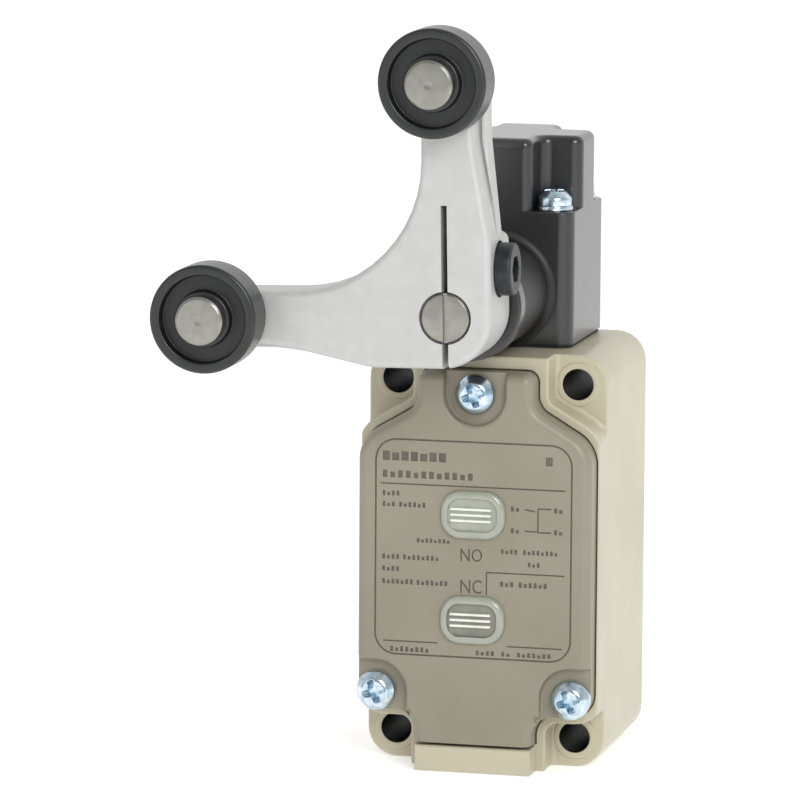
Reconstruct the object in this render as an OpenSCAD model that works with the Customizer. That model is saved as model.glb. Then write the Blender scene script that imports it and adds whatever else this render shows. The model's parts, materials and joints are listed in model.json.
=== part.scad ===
// Heavy-duty limit switch with a two-roller fork lever.
// X runs to the right, -Y to the front, +Z up. The origin is the centre of the
// four-hole mounting pattern, on the rear mounting face.

/* [Body] */
// Width of the body, and of the switch
body_w = 40; // [38:1:56]
// Height of the body without the head
body_h = 68.5; // [66:0.5:90]
// Depth from the rear face to the front of the four corner lugs
lug_depth = 31; // [29:0.5:44]
// Height of the body's rim in front of the lugs
rim_h = 5.5; // [4.5:0.5:8]
// Thickness of the body's rear wall
rear_wall = 4; // [3:0.5:6]
// Width of the body's side walls behind the cover's edge
side_wall = 2.7; // [2:0.1:4]
// Corner radius of the body, seen from the front
body_corner_r = 4.9; // [3:0.1:6]

/* [Mounting] */
// Distance between the mounting holes, across
hole_pitch_x = 30.2; // [29.2:0.1:31.2]
// Distance between the mounting holes, up and down
hole_pitch_z = 58.7; // [57.7:0.1:59.7]
// Diameter of the mounting holes
mount_hole_d = 5.2; // [4.2:0.1:5.6]
// Minor diameter of the conduit thread
conduit_d = 18.6; // [14:0.1:19.6]

/* [Cover] */
// Height of the cover above the rim
cover_proud = 4.5; // [3.5:0.5:8]
// Thickness of the cover's front wall
cover_wall = 2.5; // [1.5:0.1:3]
// Gap between the cover's edge and the rim around it
cover_gap = 0.35; // [0.1:0.05:0.6]
// Thickness of the cover gasket
cover_gasket_t = 1; // [0.6:0.1:1.4]
// Width of the upper and lower tongues
tongue_w = 19.4; // [17:0.2:21]
// Size of each window across
window_w = 10.8; // [9:0.2:12]
// Size of each window up and down
window_h = 8; // [6:0.2:9]
// Distance between the two windows
window_pitch = 17.4; // [16:0.2:20]
// How far the lenses stand out of the cover
lens_proud = 0.9; // [0.4:0.1:1.5]

/* [Screws] */
// Thread diameter of the cover screws
cover_screw_d = 4; // [3:0.5:4]
// Head diameter of the cover screws
cover_screw_head_d = 6.6; // [6:0.1:7.4]
// Thread diameter of the head screws
head_screw_d = 3.5; // [2.5:0.5:3.5]
// Head diameter of the head screws
head_screw_head_d = 5.8; // [5:0.1:6]
// Distance between the head screws, both ways
head_screw_pitch = 17.4; // [17:0.1:18.2]

/* [Head] */
// Width and depth of the square operating head
head_w = 25; // [24.6:0.1:26]
// Height of the head above the body
head_h = 34.4; // [33:0.2:42]
// Height of the corner seats of the head screws above the head's base
seat_h = 21.9; // [21:0.1:24]
// Width of the corner notches over the seats
notch_w = 6.9; // [6.6:0.1:7.2]
// Thickness of the head gasket
head_gasket_t = 0.6; // [0.4:0.1:1]
// Diameter of the round shaft boss
boss_d = 17.4; // [16:0.1:18]
// Length of the shaft boss in front of the head
boss_len = 18; // [16:0.5:24]

/* [Shaft] */
// Height of the shaft above the body's top
shaft_rise = 9.45; // [9:0.05:11]
// Diameter of the operating shaft
shaft_d = 8; // [6.7:0.1:8.4]
// Radial clearance of the shaft in its bushes
running_gap = 0.03; // [0.01:0.01:0.08]
// Diameter of the position collar
collar_d = 18; // [16:0.1:19]
// Thickness of the position collar
collar_t = 3.5; // [2.5:0.1:4]

/* [Lever] */
// Distance from the shaft to each roller
lever_r = 38; // [34:0.5:50]
// Thickness of the lever's clamping hub
hub_t = 14; // [12:0.5:16]
// Thickness of the narrow front layer of the arms
pad_t = 5; // [3:0.5:6]
// Thickness of the wide rear layer of the arms
web_t = 4; // [3:0.5:5]
// Width of the clamping slit
slit_w = 1; // [0.6:0.1:1.4]
// Lean of the lever out of the square, anticlockwise
lever_lean = 1.1; // [0:0.1:3]
// Thread diameter of the clamping bolt
bolt_d = 5; // [4:0.5:5]
// Head diameter of the clamping bolt
bolt_head_d = 8.5; // [7:0.1:9]

/* [Rollers] */
// Diameter of the rollers
roller_d = 17.5; // [15:0.5:22]
// Width of the rollers
roller_w = 7; // [5:0.5:9]
// Diameter of the roller pins
pin_d = 5; // [4:0.1:6]
// Head diameter of the roller pins
pin_head_d = 7.8; // [7:0.1:8.4]
// Radial clearance of the rollers on their pins
roller_gap = 0.05; // [0.02:0.01:0.1]

/* [Mechanism] */
// Travel of the plunger while the lever turns a quarter turn
plunger_travel = 1.8; // [1.4:0.1:2.2]
// Smallest working radius of the operating cam
cam_r = 5.2; // [5:0.1:5.6]
// Travel of the contact bridge from one contact pair to the other
contact_gap = 1.2; // [0.8:0.1:1.6]
// Depth of the two detent notches
detent_drop = 1.2; // [0.6:0.1:1.4]

/* [Hidden] */
$fn = 64;
eps = 0.01;
slip = 0.02; // gap between pieces that are fixed to each other

// Colours
beige = "#b3ab96";
cover_beige = "#a9a18c";
charcoal = "#3c3c3e";
zinc = "#c9d0d6";
steel = "#b9bab6";
cast = "#d2d3d0";
brass = "#c9a24b";
rubber = "#1c1c1c";

// Depths, from the rear face to the front
lug_y = -lug_depth;
rim_y = lug_y - rim_h;
land_y = rim_y + 1.5;
cover_back_y = land_y - cover_gasket_t;
cover_y = rim_y - cover_proud;
cavity_y = -rear_wall;

// Heights of the body and of the cover's outline
top_z = body_h / 2;
cover_half = body_w / 2 - 0.5;
tongue_top_z = top_z - 2.2;
tongue_bottom_z = -top_z + 4.8;
bottom_gap = 0.5;
main_top_z = hole_pitch_z / 2 - 5.55;
main_bottom_z = -hole_pitch_z / 2 + 4.85;
shoulder_r = 7;
lobe_r = 3.4;
tongue_fillet_r = 4.8;
low_fillet_r = 3.6;
rim_margin = 1.5;
lug_ring_r = mount_hole_d / 2 + 1.6;
lug_ring_t = 0.25;

// Cavity
cavity_half = cover_half - side_wall + 0.5;
cavity_top_z = main_top_z - 2.2;
cavity_bottom_z = main_bottom_z + 2.2;
cavity_corner_r = 4.5;

// Cover screws
top_screw_z = tongue_top_z - 3.65;
low_screw_x = cover_half - 3.2;
low_screw_z = main_bottom_z + 3.2;
pocket_r = cover_screw_head_d / 2 + 1.8;
pocket_y = cover_y + 1.7;
screw_points = [[0, top_screw_z], [-low_screw_x, low_screw_z], [low_screw_x, low_screw_z]];
screw_head_h = 2.8;
screw_tip_y = land_y + 7.5;

// Head
head_back_y = -0.25;
head_front_y = head_back_y - head_w;
head_mid_y = (head_back_y + head_front_y) / 2;
head_z = top_z + head_gasket_t;
head_top_z = top_z + head_h;
seat_z = head_z + seat_h;
head_wall = 2.8;
pillar_half = head_w / 2 - notch_w - 0.3;
chamber_half = head_w / 2 - head_wall + 0.1;
chamber_top_z = head_top_z - head_wall;
washer_t = 0.8;
head_screw_head_h = 2.5;
head_screw_bite = 7.5;

// Shaft line
shaft_z = top_z + shaft_rise;
shaft_r = shaft_d / 2;
boss_y = head_front_y - boss_len;
collar_back_y = boss_y - 0.1;
collar_front_y = collar_back_y - collar_t;
hub_back_y = collar_front_y - 0.8;
lever_y = hub_back_y - hub_t;
shaft_back_y = head_back_y - 2.15;
bush_r = shaft_r + 2;
chamber_front_y = head_front_y + head_wall;
chamber_back_y = head_back_y - 5.35;

// Roller line
roller_back_y = lever_y - 0.3;
roller_y = roller_back_y - roller_w;
pin_head_t = 2;

// Clamping bolt, in the lever's own frame
bolt_z = shaft_r + bolt_d / 2 + 0.7;
bolt_y = (hub_back_y + lever_y) / 2;
bolt_seat_x = 5;
bolt_head_h = bolt_d;

// Plunger and switch
plunger_top_z = shaft_z - cam_r - 0.3;
plunger_flange_t = 1.5;
plunger_stem_r = 2;
guide_bore_r = 4.4;
guide_r = 5.2;
guide_floor_z = top_z - 7.25;
guide_floor_t = 1.5;
case_top_z = cavity_top_z - 0.4;
case_half = 13.4;
case_h = 28;
case_back_y = cavity_y;
case_front_y = case_back_y - 18;
button_rise = 3.1;
button_top_z = case_top_z + button_rise;
button_r = 2.2;
lid_t = 1.5;
room_half = 10.4;
room_top_z = case_top_z - 3;
room_bottom_z = room_top_z - 18;
room_front_y = case_front_y + 4;
contact_z = room_top_z - 6.2; // underside of the normally closed contacts
bridge_y = head_mid_y;
bridge_t = 0.8;
rivet_t = 0.9;
blade_t = 0.8;
terminal_x = 8;
terminal_half = 2.7;
blade_half = 2;
closed_blade_z = contact_z + blade_t / 2;
closed_pad_z = closed_blade_z + 1.6;
open_pad_z = contact_z - 10.5;

// ---------- helpers ----------
// A plane shape drawn in X and Z, run from the depth back to the depth front.
module slab(back, front) {
    translate([0, back, 0]) rotate([90, 0, 0]) linear_extrude(back - front) children();
}

module rod_y(x, z, back, front, r) {
    translate([x, back, z]) rotate([90, 0, 0]) cylinder(h = back - front, r = r);
}

module rod_z(x, y, low, high, r) {
    translate([x, y, low]) cylinder(h = high - low, r = r);
}

module rod_x(y, z, left, right, r) {
    translate([left, y, z]) rotate([0, 90, 0]) cylinder(h = right - left, r = r);
}

module block(low, high) {
    translate(low) cube(high - low);
}

module round_box(low, high, r) {
    translate([low[0] + r, low[1]]) square([high[0] - low[0] - 2 * r, high[1] - low[1]]);
    translate([low[0], low[1] + r]) square([high[0] - low[0], high[1] - low[1] - 2 * r]);
    for (x = [low[0] + r, high[0] - r], z = [low[1] + r, high[1] - r]) translate([x, z]) circle(r);
}

module stadium(w, h) {
    r = h * 0.42;
    round_box([-w / 2, -h / 2], [w / 2, h / 2], r);
}

// Points of an arc round the centre c, from the angle a to the angle b.
function arc(c, r, a, b, n) = [for (i = [0:n])
    let (t = a + (b - a) * i / n) c + r * [cos(t), sin(t)]];

// The lever's lean is a turn round the shaft.
module leaning() {
    translate([0, 0, shaft_z]) rotate([0, -lever_lean, 0]) children();
}

// Helical spring along +Z, standing on z = 0.
module coil_spring(mean_r, wire_r, length, turns) {
    sides = 6;
    steps = 14 * turns;
    rise = length - 2 * wire_r;
    rings = [for (i = [0:steps], j = [0:sides - 1])
        let (a = 360 * turns * i / steps, b = 360 * j / sides, r = mean_r + wire_r * cos(b))
        [r * cos(a), r * sin(a), wire_r + rise * i / steps + wire_r * sin(b) * 0.98]];
    faces = concat(
        [[for (j = [0:sides - 1]) j]],
        [for (i = [0:steps - 1], j = [0:sides - 1])
            let (p = i * sides + j, q = i * sides + (j + 1) % sides)
            [p, p + sides, q + sides, q]],
        [[for (j = [sides - 1:-1:0]) steps * sides + j]]);
    polyhedron(rings, faces);
}

// Pan head with a cross recess, its face towards -Y.
module pan_head_y(x, z, seat, d, h) {
    difference() {
        union() {
            rod_y(x, z, seat, seat - h * 0.6, d / 2);
            rod_y(x, z, seat - h * 0.6 + eps, seat - h, d / 2 - 0.6);
        }
        for (turn = [0, 90]) translate([x, seat - h, z]) rotate([0, turn + 20, 0])
            cube([d * 0.55, 2.4, d * 0.15], center = true);
    }
}

// Pan head with a cross recess, its face towards +Z.
module pan_head_z(x, y, seat, d, h) {
    difference() {
        union() {
            rod_z(x, y, seat, seat + h * 0.6, d / 2);
            rod_z(x, y, seat + h * 0.6 - eps, seat + h, d / 2 - 0.6);
        }
        for (turn = [0, 90]) translate([x, y, seat + h]) rotate([0, 0, turn + 20])
            cube([d * 0.55, d * 0.15, 2.2], center = true);
    }
}

// ---------- body ----------
module body_plan() {
    round_box([-body_w / 2, -top_z], [body_w / 2, top_z], body_corner_r);
}

// Concave corner between a tongue's side and the main part, of the radius r, grown by g.
module tongue_fillet(r, g) {
    difference() {
        translate([tongue_w / 2 + g - 1, g - 1]) square([r - g + 1, r - g + 1]);
        translate([tongue_w / 2 + r, r]) circle(r - g);
    }
}

// Outline of the cover, grown by g.
module cover_plan(g) {
    half = cover_half + g;
    up = shoulder_r + g;
    low = lobe_r + g;
    translate([-half, main_bottom_z - g + low])
        square([2 * half, main_top_z - main_bottom_z + 2 * g - up - low]);
    translate([-half + up, main_top_z - up]) square([2 * (half - up), up + g]);
    translate([-half + low, main_bottom_z - g]) square([2 * (half - low), low + eps]);
    for (s = [-1, 1]) {
        translate([s * (half - up), main_top_z + g - up]) circle(up);
        translate([s * (half - low), main_bottom_z - g + low]) circle(low);
    }
    for (s = [0, 1]) mirror([s, 0]) {
        translate([0, main_top_z]) tongue_fillet(tongue_fillet_r, g);
        translate([0, main_bottom_z]) mirror([0, 1]) tongue_fillet(low_fillet_r, g);
    }
    translate([-tongue_w / 2 - g, tongue_bottom_z - g])
        square([tongue_w + 2 * g, tongue_top_z - tongue_bottom_z + 2 * g]);
}

module cavity_plan(g) {
    round_box([-cavity_half - g, cavity_bottom_z - g], [cavity_half + g, cavity_top_z + g],
        cavity_corner_r + g);
}

module mounting_holes() {
    for (x = [-1, 1], z = [-1, 1])
        rod_y(x * hole_pitch_x / 2, z * hole_pitch_z / 2, 1, rim_y - 1, mount_hole_d / 2);
}

module body_housing() {
    color(beige) difference() {
        union() {
            slab(0, lug_y) body_plan();
            slab(lug_y + eps, rim_y) intersection() {
                body_plan();
                cover_plan(rim_margin);
            }
            slab(lug_y + eps, cover_y) translate([-tongue_w / 2, -top_z])
                square([tongue_w, tongue_bottom_z - bottom_gap + top_z]);
            for (x = [-1, 1], z = [-1, 1])
                rod_y(x * hole_pitch_x / 2, z * hole_pitch_z / 2, lug_y + 1, lug_y - lug_ring_t,
                    lug_ring_r);
        }
        slab(land_y, rim_y - 1) cover_plan(cover_gap);
        difference() {
            slab(cavity_y, rim_y) cavity_plan(0);
            for (s = [-1, 1]) slab(0, rim_y - 1) translate([s * low_screw_x, low_screw_z])
                circle(cover_screw_d / 2 + 2.3);
        }
        mounting_holes();
        for (p = screw_points) rod_y(p[0], p[1], screw_tip_y + 0.5, rim_y, cover_screw_d / 2 + slip);
        rod_z(0, head_mid_y, cavity_top_z - 1, top_z + 1, guide_r + 0.05);
        rod_z(0, lug_y / 2, -top_z - 1, cavity_bottom_z + 1, conduit_d / 2);
        head_screw_holes(top_z - head_screw_bite - 0.5, top_z + 1, head_screw_d / 2 + slip);
        for (p = switch_screw_points) rod_y(p[0], p[1], -1.2, cavity_y - 1, 1.5 + slip);
        rod_y(ground_x, ground_z, -1.2, cavity_y - 1, 1.5 + slip);
    }
}

// ---------- cover ----------
module window_cut(z, back, front, g) {
    slab(back, front) translate([0, z]) stadium(window_w + 2 * g, window_h + 2 * g);
}

module front_cover() {
    color(cover_beige) difference() {
        slab(cover_back_y, cover_y) cover_plan(0);
        slab(cover_back_y + 1, cover_y + cover_wall)
            round_box([-lamp_room_half, -lamp_room_h / 2], [lamp_room_half, lamp_room_h / 2], 2);
        for (s = [-1, 1]) window_cut(s * window_pitch / 2, cover_back_y + 1, cover_y - 1, slip);
        for (p = screw_points) rod_y(p[0], p[1], cover_back_y + 1, cover_y - 1, cover_screw_d / 2 + 0.2);
        slab(pocket_y, cover_y - 1) {
            translate([0, top_screw_z]) circle(pocket_r);
            translate([-pocket_r, top_screw_z]) square([2 * pocket_r, 10]);
            for (s = [-1, 1]) {
                translate([s * low_screw_x, low_screw_z]) circle(pocket_r);
                translate([s * low_screw_x - (s > 0 ? 0 : 10), low_screw_z - pocket_r])
                    square([10, 2 * pocket_r]);
                translate([s * low_screw_x - (s > 0 ? pocket_r : 10 - pocket_r), low_screw_z - 10])
                    square([10, 10]);
            }
        }
    }
}

module cover_gasket() {
    color(rubber) slab(land_y, cover_back_y) difference() {
        cover_plan(-0.3);
        cavity_plan(0.2);
        for (p = screw_points) translate(p) circle(cover_screw_d / 2 + 0.4);
    }
}

module cover_screws() {
    color(zinc) for (p = screw_points) {
        pan_head_y(p[0], p[1], pocket_y, cover_screw_head_d, screw_head_h);
        rod_y(p[0], p[1], screw_tip_y, pocket_y - eps, cover_screw_d / 2);
    }
}

module lens(z) {
    color("#c8d4c0") {
        window_cut(z, cover_y + cover_wall + eps, cover_y - lens_proud, 0);
        window_cut(z, cover_y + cover_wall + 1, cover_y + cover_wall, 0.8);
    }
}

module lens_upper() { lens(window_pitch / 2); }

module lens_lower() { lens(-window_pitch / 2); }

// ---------- lamp unit ----------
lamp_room_half = 8.5;
lamp_room_h = 34;
lamp_y = cover_y + cover_wall + 4.2;
lamp_r = 2.4;
holder_back_y = lamp_y + 3.6;

module lamp_holder() {
    color("#e4ddc8") difference() {
        slab(holder_back_y, cover_y + cover_wall + 1.4)
            round_box([-lamp_room_half + 0.8, -lamp_room_h / 2 + 1],
                [lamp_room_half - 0.8, lamp_room_h / 2 - 1], 1.5);
        for (s = [-1, 1]) block([-lamp_r - 0.4, lamp_y - 6, s * window_pitch / 2 - 6],
            [lamp_r + 0.4, lamp_y + lamp_r + 0.3, s * window_pitch / 2 + 6]);
        for (z = [-window_pitch / 2, window_pitch / 2])
            block([-window_w / 2 - 1.2, lamp_y - 6, z - window_h / 2 - 1.2],
                [window_w / 2 + 1.2, lamp_y - 1.6, z + window_h / 2 + 1.2]);
    }
}

module neon_lamp() {
    color("#ffb37a") {
        rod_z(0, lamp_y, window_pitch / 2 - 5.9, window_pitch / 2 + 4.4, lamp_r);
        translate([0, lamp_y, window_pitch / 2 + 4.4]) scale(lamp_r * 0.55) sphere(1);
    }
}

module lamp_resistor() {
    color("#7a5c42") {
        rod_z(0, lamp_y, -window_pitch / 2 - 3.6, -window_pitch / 2 + 3.6, 1.6);
        for (z = [-4.7, 4.7])
            rod_z(0, lamp_y, -window_pitch / 2 + z - 1.2, -window_pitch / 2 + z + 1.2, 0.4);
    }
}

module lamp_springs() {
    color(brass) for (s = [-1, 1])
        translate([s * 4.6, holder_back_y + slip, 0]) rotate([-90, 0, 0]) coil_spring(1.6, 0.3, 5, 4);
}

// ---------- head ----------
module head_screw_holes(low, high, r) {
    for (x = [-1, 1], y = [-1, 1])
        rod_z(x * head_screw_pitch / 2, head_mid_y + y * head_screw_pitch / 2, low, high, r);
}

module head_plan(inset) {
    round_box([-head_w / 2 + inset, head_front_y + inset], [head_w / 2 - inset, head_back_y - inset],
        2.5 - inset);
}

module head_housing() {
    color(charcoal) difference() {
        union() {
            translate([0, 0, head_z]) linear_extrude(head_top_z - head_z) head_plan(0);
            rod_y(0, shaft_z, head_front_y + 1, boss_y, boss_d / 2);
        }
        for (x = [-1, 1], y = [-1, 1])
            translate([x * head_w / 2, head_mid_y + y * head_w / 2, seat_z + 25])
            cube([2 * notch_w, 2 * notch_w, 50], center = true);
        block([-chamber_half, head_mid_y - pillar_half, head_z - 1],
            [chamber_half, head_mid_y + pillar_half, chamber_top_z]);
        block([-pillar_half, chamber_front_y, head_z - 1], [pillar_half, chamber_back_y, chamber_top_z]);
        rod_y(0, shaft_z, head_front_y + 5, boss_y - 1, bush_r + slip);
        rod_y(0, shaft_z, head_back_y - 1.95, chamber_back_y - 1, shaft_r + 1.5 + slip);
        rod_y(0, shaft_z, drum_back_y + 0.4, chamber_front_y, drum_r + 0.3);
        head_screw_holes(head_z - 1, seat_z + 1, head_screw_d / 2 + 0.15);
    }
}

module head_gasket() {
    color(rubber) difference() {
        translate([0, 0, top_z]) linear_extrude(head_gasket_t) head_plan(0.35);
        rod_z(0, head_mid_y, top_z - 1, top_z + 2, flange_r + 0.2);
        head_screw_holes(top_z - 1, top_z + 2, head_screw_d / 2 + 0.15);
    }
}

module head_screws() {
    color(zinc) for (x = [-1, 1], y = [-1, 1]) {
        px = x * head_screw_pitch / 2;
        py = head_mid_y + y * head_screw_pitch / 2;
        pan_head_z(px, py, seat_z + washer_t, head_screw_head_d, head_screw_head_h);
        rod_z(px, py, top_z - head_screw_bite, seat_z + washer_t + eps, head_screw_d / 2);
    }
}

module head_washers() {
    color(zinc) difference() {
        head_screw_holes(seat_z, seat_z + washer_t, head_screw_head_d / 2 + 0.15);
        head_screw_holes(seat_z - 1, seat_z + washer_t + 1, head_screw_d / 2 + 0.1);
    }
}

module bush(back, front, outer) {
    difference() {
        rod_y(0, shaft_z, back, front, outer);
        rod_y(0, shaft_z, back + 1, front - 1, shaft_r + running_gap);
    }
}

module front_bush() { color(brass) bush(chamber_front_y, boss_y + 3.2, bush_r); }

module rear_bush() { color(brass) bush(head_back_y - 1.95, chamber_back_y, shaft_r + 1.5); }

module shaft_seal() { color(rubber) bush(boss_y + 3.2 - slip, boss_y + 0.3, bush_r); }

// ---------- shaft and what turns with it ----------
module operating_shaft() {
    color(steel) difference() {
        rod_y(0, shaft_z, shaft_back_y, lever_y - 0.1, shaft_r);
        leaning() translate([0, lever_y, 0]) cube([0.7, 1.2, 2 * shaft_r + 1], center = true);
    }
}

module on_shaft(back, front) {
    difference() {
        children();
        rod_y(0, shaft_z, back + 1, front - 1, shaft_r + slip);
    }
}

module position_collar() {
    color(charcoal) on_shaft(collar_back_y, collar_front_y) difference() {
        rod_y(0, shaft_z, collar_back_y, collar_front_y, collar_d / 2);
        leaning() translate([0, collar_back_y, collar_d / 2])
            cube([1.6, 2 * collar_t + 2, 1.2], center = true);
    }
}

cam_back_y = head_mid_y + 3;
cam_front_y = head_mid_y - 3;
function cam_radius(a) = cam_r + plunger_travel * (a + 90) / 90;

module operating_cam() {
    color(steel) on_shaft(cam_back_y, cam_front_y) {
        rod_y(0, shaft_z, cam_back_y, cam_front_y, shaft_r + 0.9);
        slab(cam_back_y, cam_front_y) translate([0, shaft_z])
            polygon(concat([[0, 0]], [for (a = [-112:4:20]) cam_radius(a) * [cos(a), sin(a)]]));
    }
}

drum_r = shaft_r + 1.9;
drum_front_y = chamber_front_y + 1.4;
drum_back_y = drum_front_y + 3.6;
detent_y = (drum_front_y + drum_back_y) / 2;
detent_r = 1.6;
notch_r = drum_r + detent_r - detent_drop; // distance of the notches from the shaft's axis

module detent_drum() {
    color(steel) on_shaft(drum_back_y, drum_front_y) difference() {
        rod_y(0, shaft_z, drum_back_y, drum_front_y, drum_r);
        for (a = [90, 180])
            rod_y(notch_r * cos(a), shaft_z + notch_r * sin(a), drum_back_y + 1, drum_front_y - 1,
                detent_r + 0.15);
    }
}

module retaining_ring() {
    color(steel) on_shaft(chamber_front_y + 1, chamber_front_y) difference() {
        rod_y(0, shaft_z, chamber_front_y + 1.1, chamber_front_y + 0.2, shaft_r + 1.8);
        block([-1.8, chamber_front_y - 1, shaft_z - 9], [1.8, chamber_front_y + 3, shaft_z]);
    }
}

// ---------- plunger ----------
flange_r = guide_r + 1.8;

module plunger() {
    color(steel) {
        rod_z(0, head_mid_y, plunger_top_z - plunger_flange_t, plunger_top_z, guide_bore_r - 0.3);
        rod_z(0, head_mid_y, button_top_z + 0.05, plunger_top_z - plunger_flange_t + eps, plunger_stem_r);
    }
}

module plunger_guide() {
    color(brass) difference() {
        union() {
            rod_z(0, head_mid_y, top_z, top_z + 0.8, flange_r);
            rod_z(0, head_mid_y, guide_floor_z, top_z + eps, guide_r);
        }
        rod_z(0, head_mid_y, guide_floor_z + guide_floor_t, top_z + 1, guide_bore_r);
        rod_z(0, head_mid_y, guide_floor_z - 1, top_z, plunger_stem_r + 0.05);
    }
}

module plunger_spring() {
    spring_low = guide_floor_z + guide_floor_t + slip;
    color(steel) translate([0, head_mid_y, spring_low])
        coil_spring(3.2, 0.4, plunger_top_z - plunger_flange_t - slip - spring_low, 5);
}

// ---------- detent ----------
detent_tip_z = shaft_z + drum_r + 0.1;
detent_head_z = detent_tip_z + 6;
detent_spring_top_z = chamber_top_z - 1.2;

module detent_plunger() {
    color(steel) {
        translate([0, detent_y, detent_tip_z + detent_r]) sphere(detent_r);
        rod_z(0, detent_y, detent_tip_z + detent_r, detent_head_z, detent_r);
        rod_z(0, detent_y, detent_head_z - 1.2, detent_head_z, detent_r + 0.6);
    }
}

module detent_spring() {
    color(steel) translate([0, detent_y, detent_head_z + slip])
        coil_spring(1.4, 0.25, detent_spring_top_z - detent_head_z - 2 * slip, 5);
}

module detent_guide() {
    guide_z = detent_tip_z + 1.9;
    color("#d9d4c4") difference() {
        block([-pillar_half + 0.1, chamber_front_y + 0.05, guide_z],
            [pillar_half - 0.1, detent_y + 3.2, chamber_top_z - slip]);
        rod_z(0, detent_y, detent_head_z - 1.3 - detent_drop, detent_spring_top_z, detent_r + 0.7);
        rod_z(0, detent_y, guide_z - 1, detent_head_z, detent_r + 0.05);
    }
}

// ---------- built-in switch ----------
switch_screw_points = [[-case_half + 2.2, case_top_z - 2.2], [case_half - 2.2, case_top_z - case_h + 2.6]];
ground_x = 0;
ground_z = case_top_z - case_h - 6;

module both_sides() {
    for (s = [0, 1]) mirror([s, 0, 0]) children();
}

module contact_slots(z) {
    both_sides() block([terminal_x - blade_half - slip, case_front_y - 1, z - blade_t / 2 - slip],
        [terminal_x + blade_half + slip, room_front_y + 1, z + blade_t / 2 + slip]);
}

module switch_case() {
    color("#5b3a2a") difference() {
        block([-case_half, case_front_y, case_top_z - case_h],
            [case_half, case_back_y - lid_t, case_top_z]);
        block([-room_half, room_front_y, room_bottom_z], [room_half, case_back_y, room_top_z]);
        rod_z(0, bridge_y, room_top_z - 1, case_top_z + 1, button_r + 0.1);
        contact_slots(closed_blade_z);
        contact_slots(open_blade_z);
        for (p = switch_screw_points) rod_y(p[0], p[1], 0, case_front_y - 1, 1.7);
        both_sides() for (z = [closed_pad_z, open_pad_z])
            rod_y(terminal_x, z, case_front_y + 3, case_front_y - 1, 1.3);
    }
}

module switch_cover() {
    color("#4a2f22") difference() {
        block([-case_half, case_back_y - lid_t + slip, case_top_z - case_h],
            [case_half, case_back_y - slip, case_top_z]);
        for (p = switch_screw_points) rod_y(p[0], p[1], 0, case_front_y, 1.7);
    }
}

bridge_top_z = contact_z - slip - rivet_t;
bridge_low_z = bridge_top_z - bridge_t;
open_contact_z = bridge_low_z - rivet_t - contact_gap - slip;
open_blade_z = open_contact_z - blade_t / 2;
collar_z = bridge_top_z + 2.6;

module switch_button() {
    color("#e9e2d2") {
        rod_z(0, bridge_y, room_top_z - 0.8, button_top_z, button_r);
        rod_z(0, bridge_y, collar_z, room_top_z - 0.6, 1.5);
        rod_z(0, bridge_y, collar_z - 0.6, collar_z + 0.2, 2.4);
        rod_z(0, bridge_y, bridge_low_z - 3, collar_z, 1);
    }
}

module contact_bridge() {
    color(brass) difference() {
        union() {
            block([-terminal_x + 0.2, bridge_y - 2.4, bridge_low_z],
                [terminal_x - 0.2, bridge_y + 2.4, bridge_top_z]);
            for (s = [-1, 1])
                rod_z(s * (terminal_x - 2), bridge_y, bridge_low_z - rivet_t, bridge_top_z + rivet_t, 1.5);
        }
        rod_z(0, bridge_y, bridge_low_z - 1, bridge_top_z + 1, 1.2);
    }
}

// A blade that runs from its contact, through the case, to a pad on the front.
module terminal_blade(z, pad_z) {
    difference() {
        union() {
            block([terminal_x - blade_half, case_front_y - 0.4, z - blade_t / 2],
                [terminal_x + blade_half, bridge_y + 2, z + blade_t / 2]);
            block([terminal_x - terminal_half, case_front_y - blade_t - slip,
                min(z - 0.4, pad_z - terminal_half)],
                [terminal_x + terminal_half, case_front_y - slip, max(z + 0.4, pad_z + terminal_half)]);
        }
        rod_y(terminal_x, pad_z, case_front_y + 3, case_front_y - 3, 1.3);
    }
}

module closed_contacts() {
    color(brass) both_sides() terminal_blade(closed_blade_z, closed_pad_z);
}

module open_contacts() {
    color(brass) both_sides() terminal_blade(open_blade_z, open_pad_z);
}

module overtravel_spring() {
    color(steel) translate([0, bridge_y, bridge_top_z + slip])
        coil_spring(1.7, 0.25, collar_z - 0.6 - bridge_top_z - 2 * slip, 2);
}

module bridge_spring() {
    color(steel) translate([0, bridge_y, room_bottom_z + slip])
        coil_spring(2, 0.3, bridge_low_z - room_bottom_z - 2 * slip, 5);
}

module terminal_screws() {
    color(zinc) for (s = [-1, 1], z = [closed_pad_z, open_pad_z]) {
        pan_head_y(s * terminal_x, z, case_front_y - blade_t - 2 * slip, 4.6, 2);
        rod_y(s * terminal_x, z, case_front_y + 2.6, case_front_y - blade_t - 2 * slip - 0.2, 1.25);
    }
}

module switch_screws() {
    color(zinc) for (p = switch_screw_points) {
        pan_head_y(p[0], p[1], case_front_y, 4.2, 1.8);
        rod_y(p[0], p[1], -1.4, case_front_y - eps, 1.5);
    }
}

module ground_screw() {
    color(zinc) {
        pan_head_y(ground_x, ground_z, cavity_y - slip, 6, 2);
        rod_y(ground_x, ground_z, -1.4, cavity_y - 0.2, 1.5);
    }
}

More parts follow.
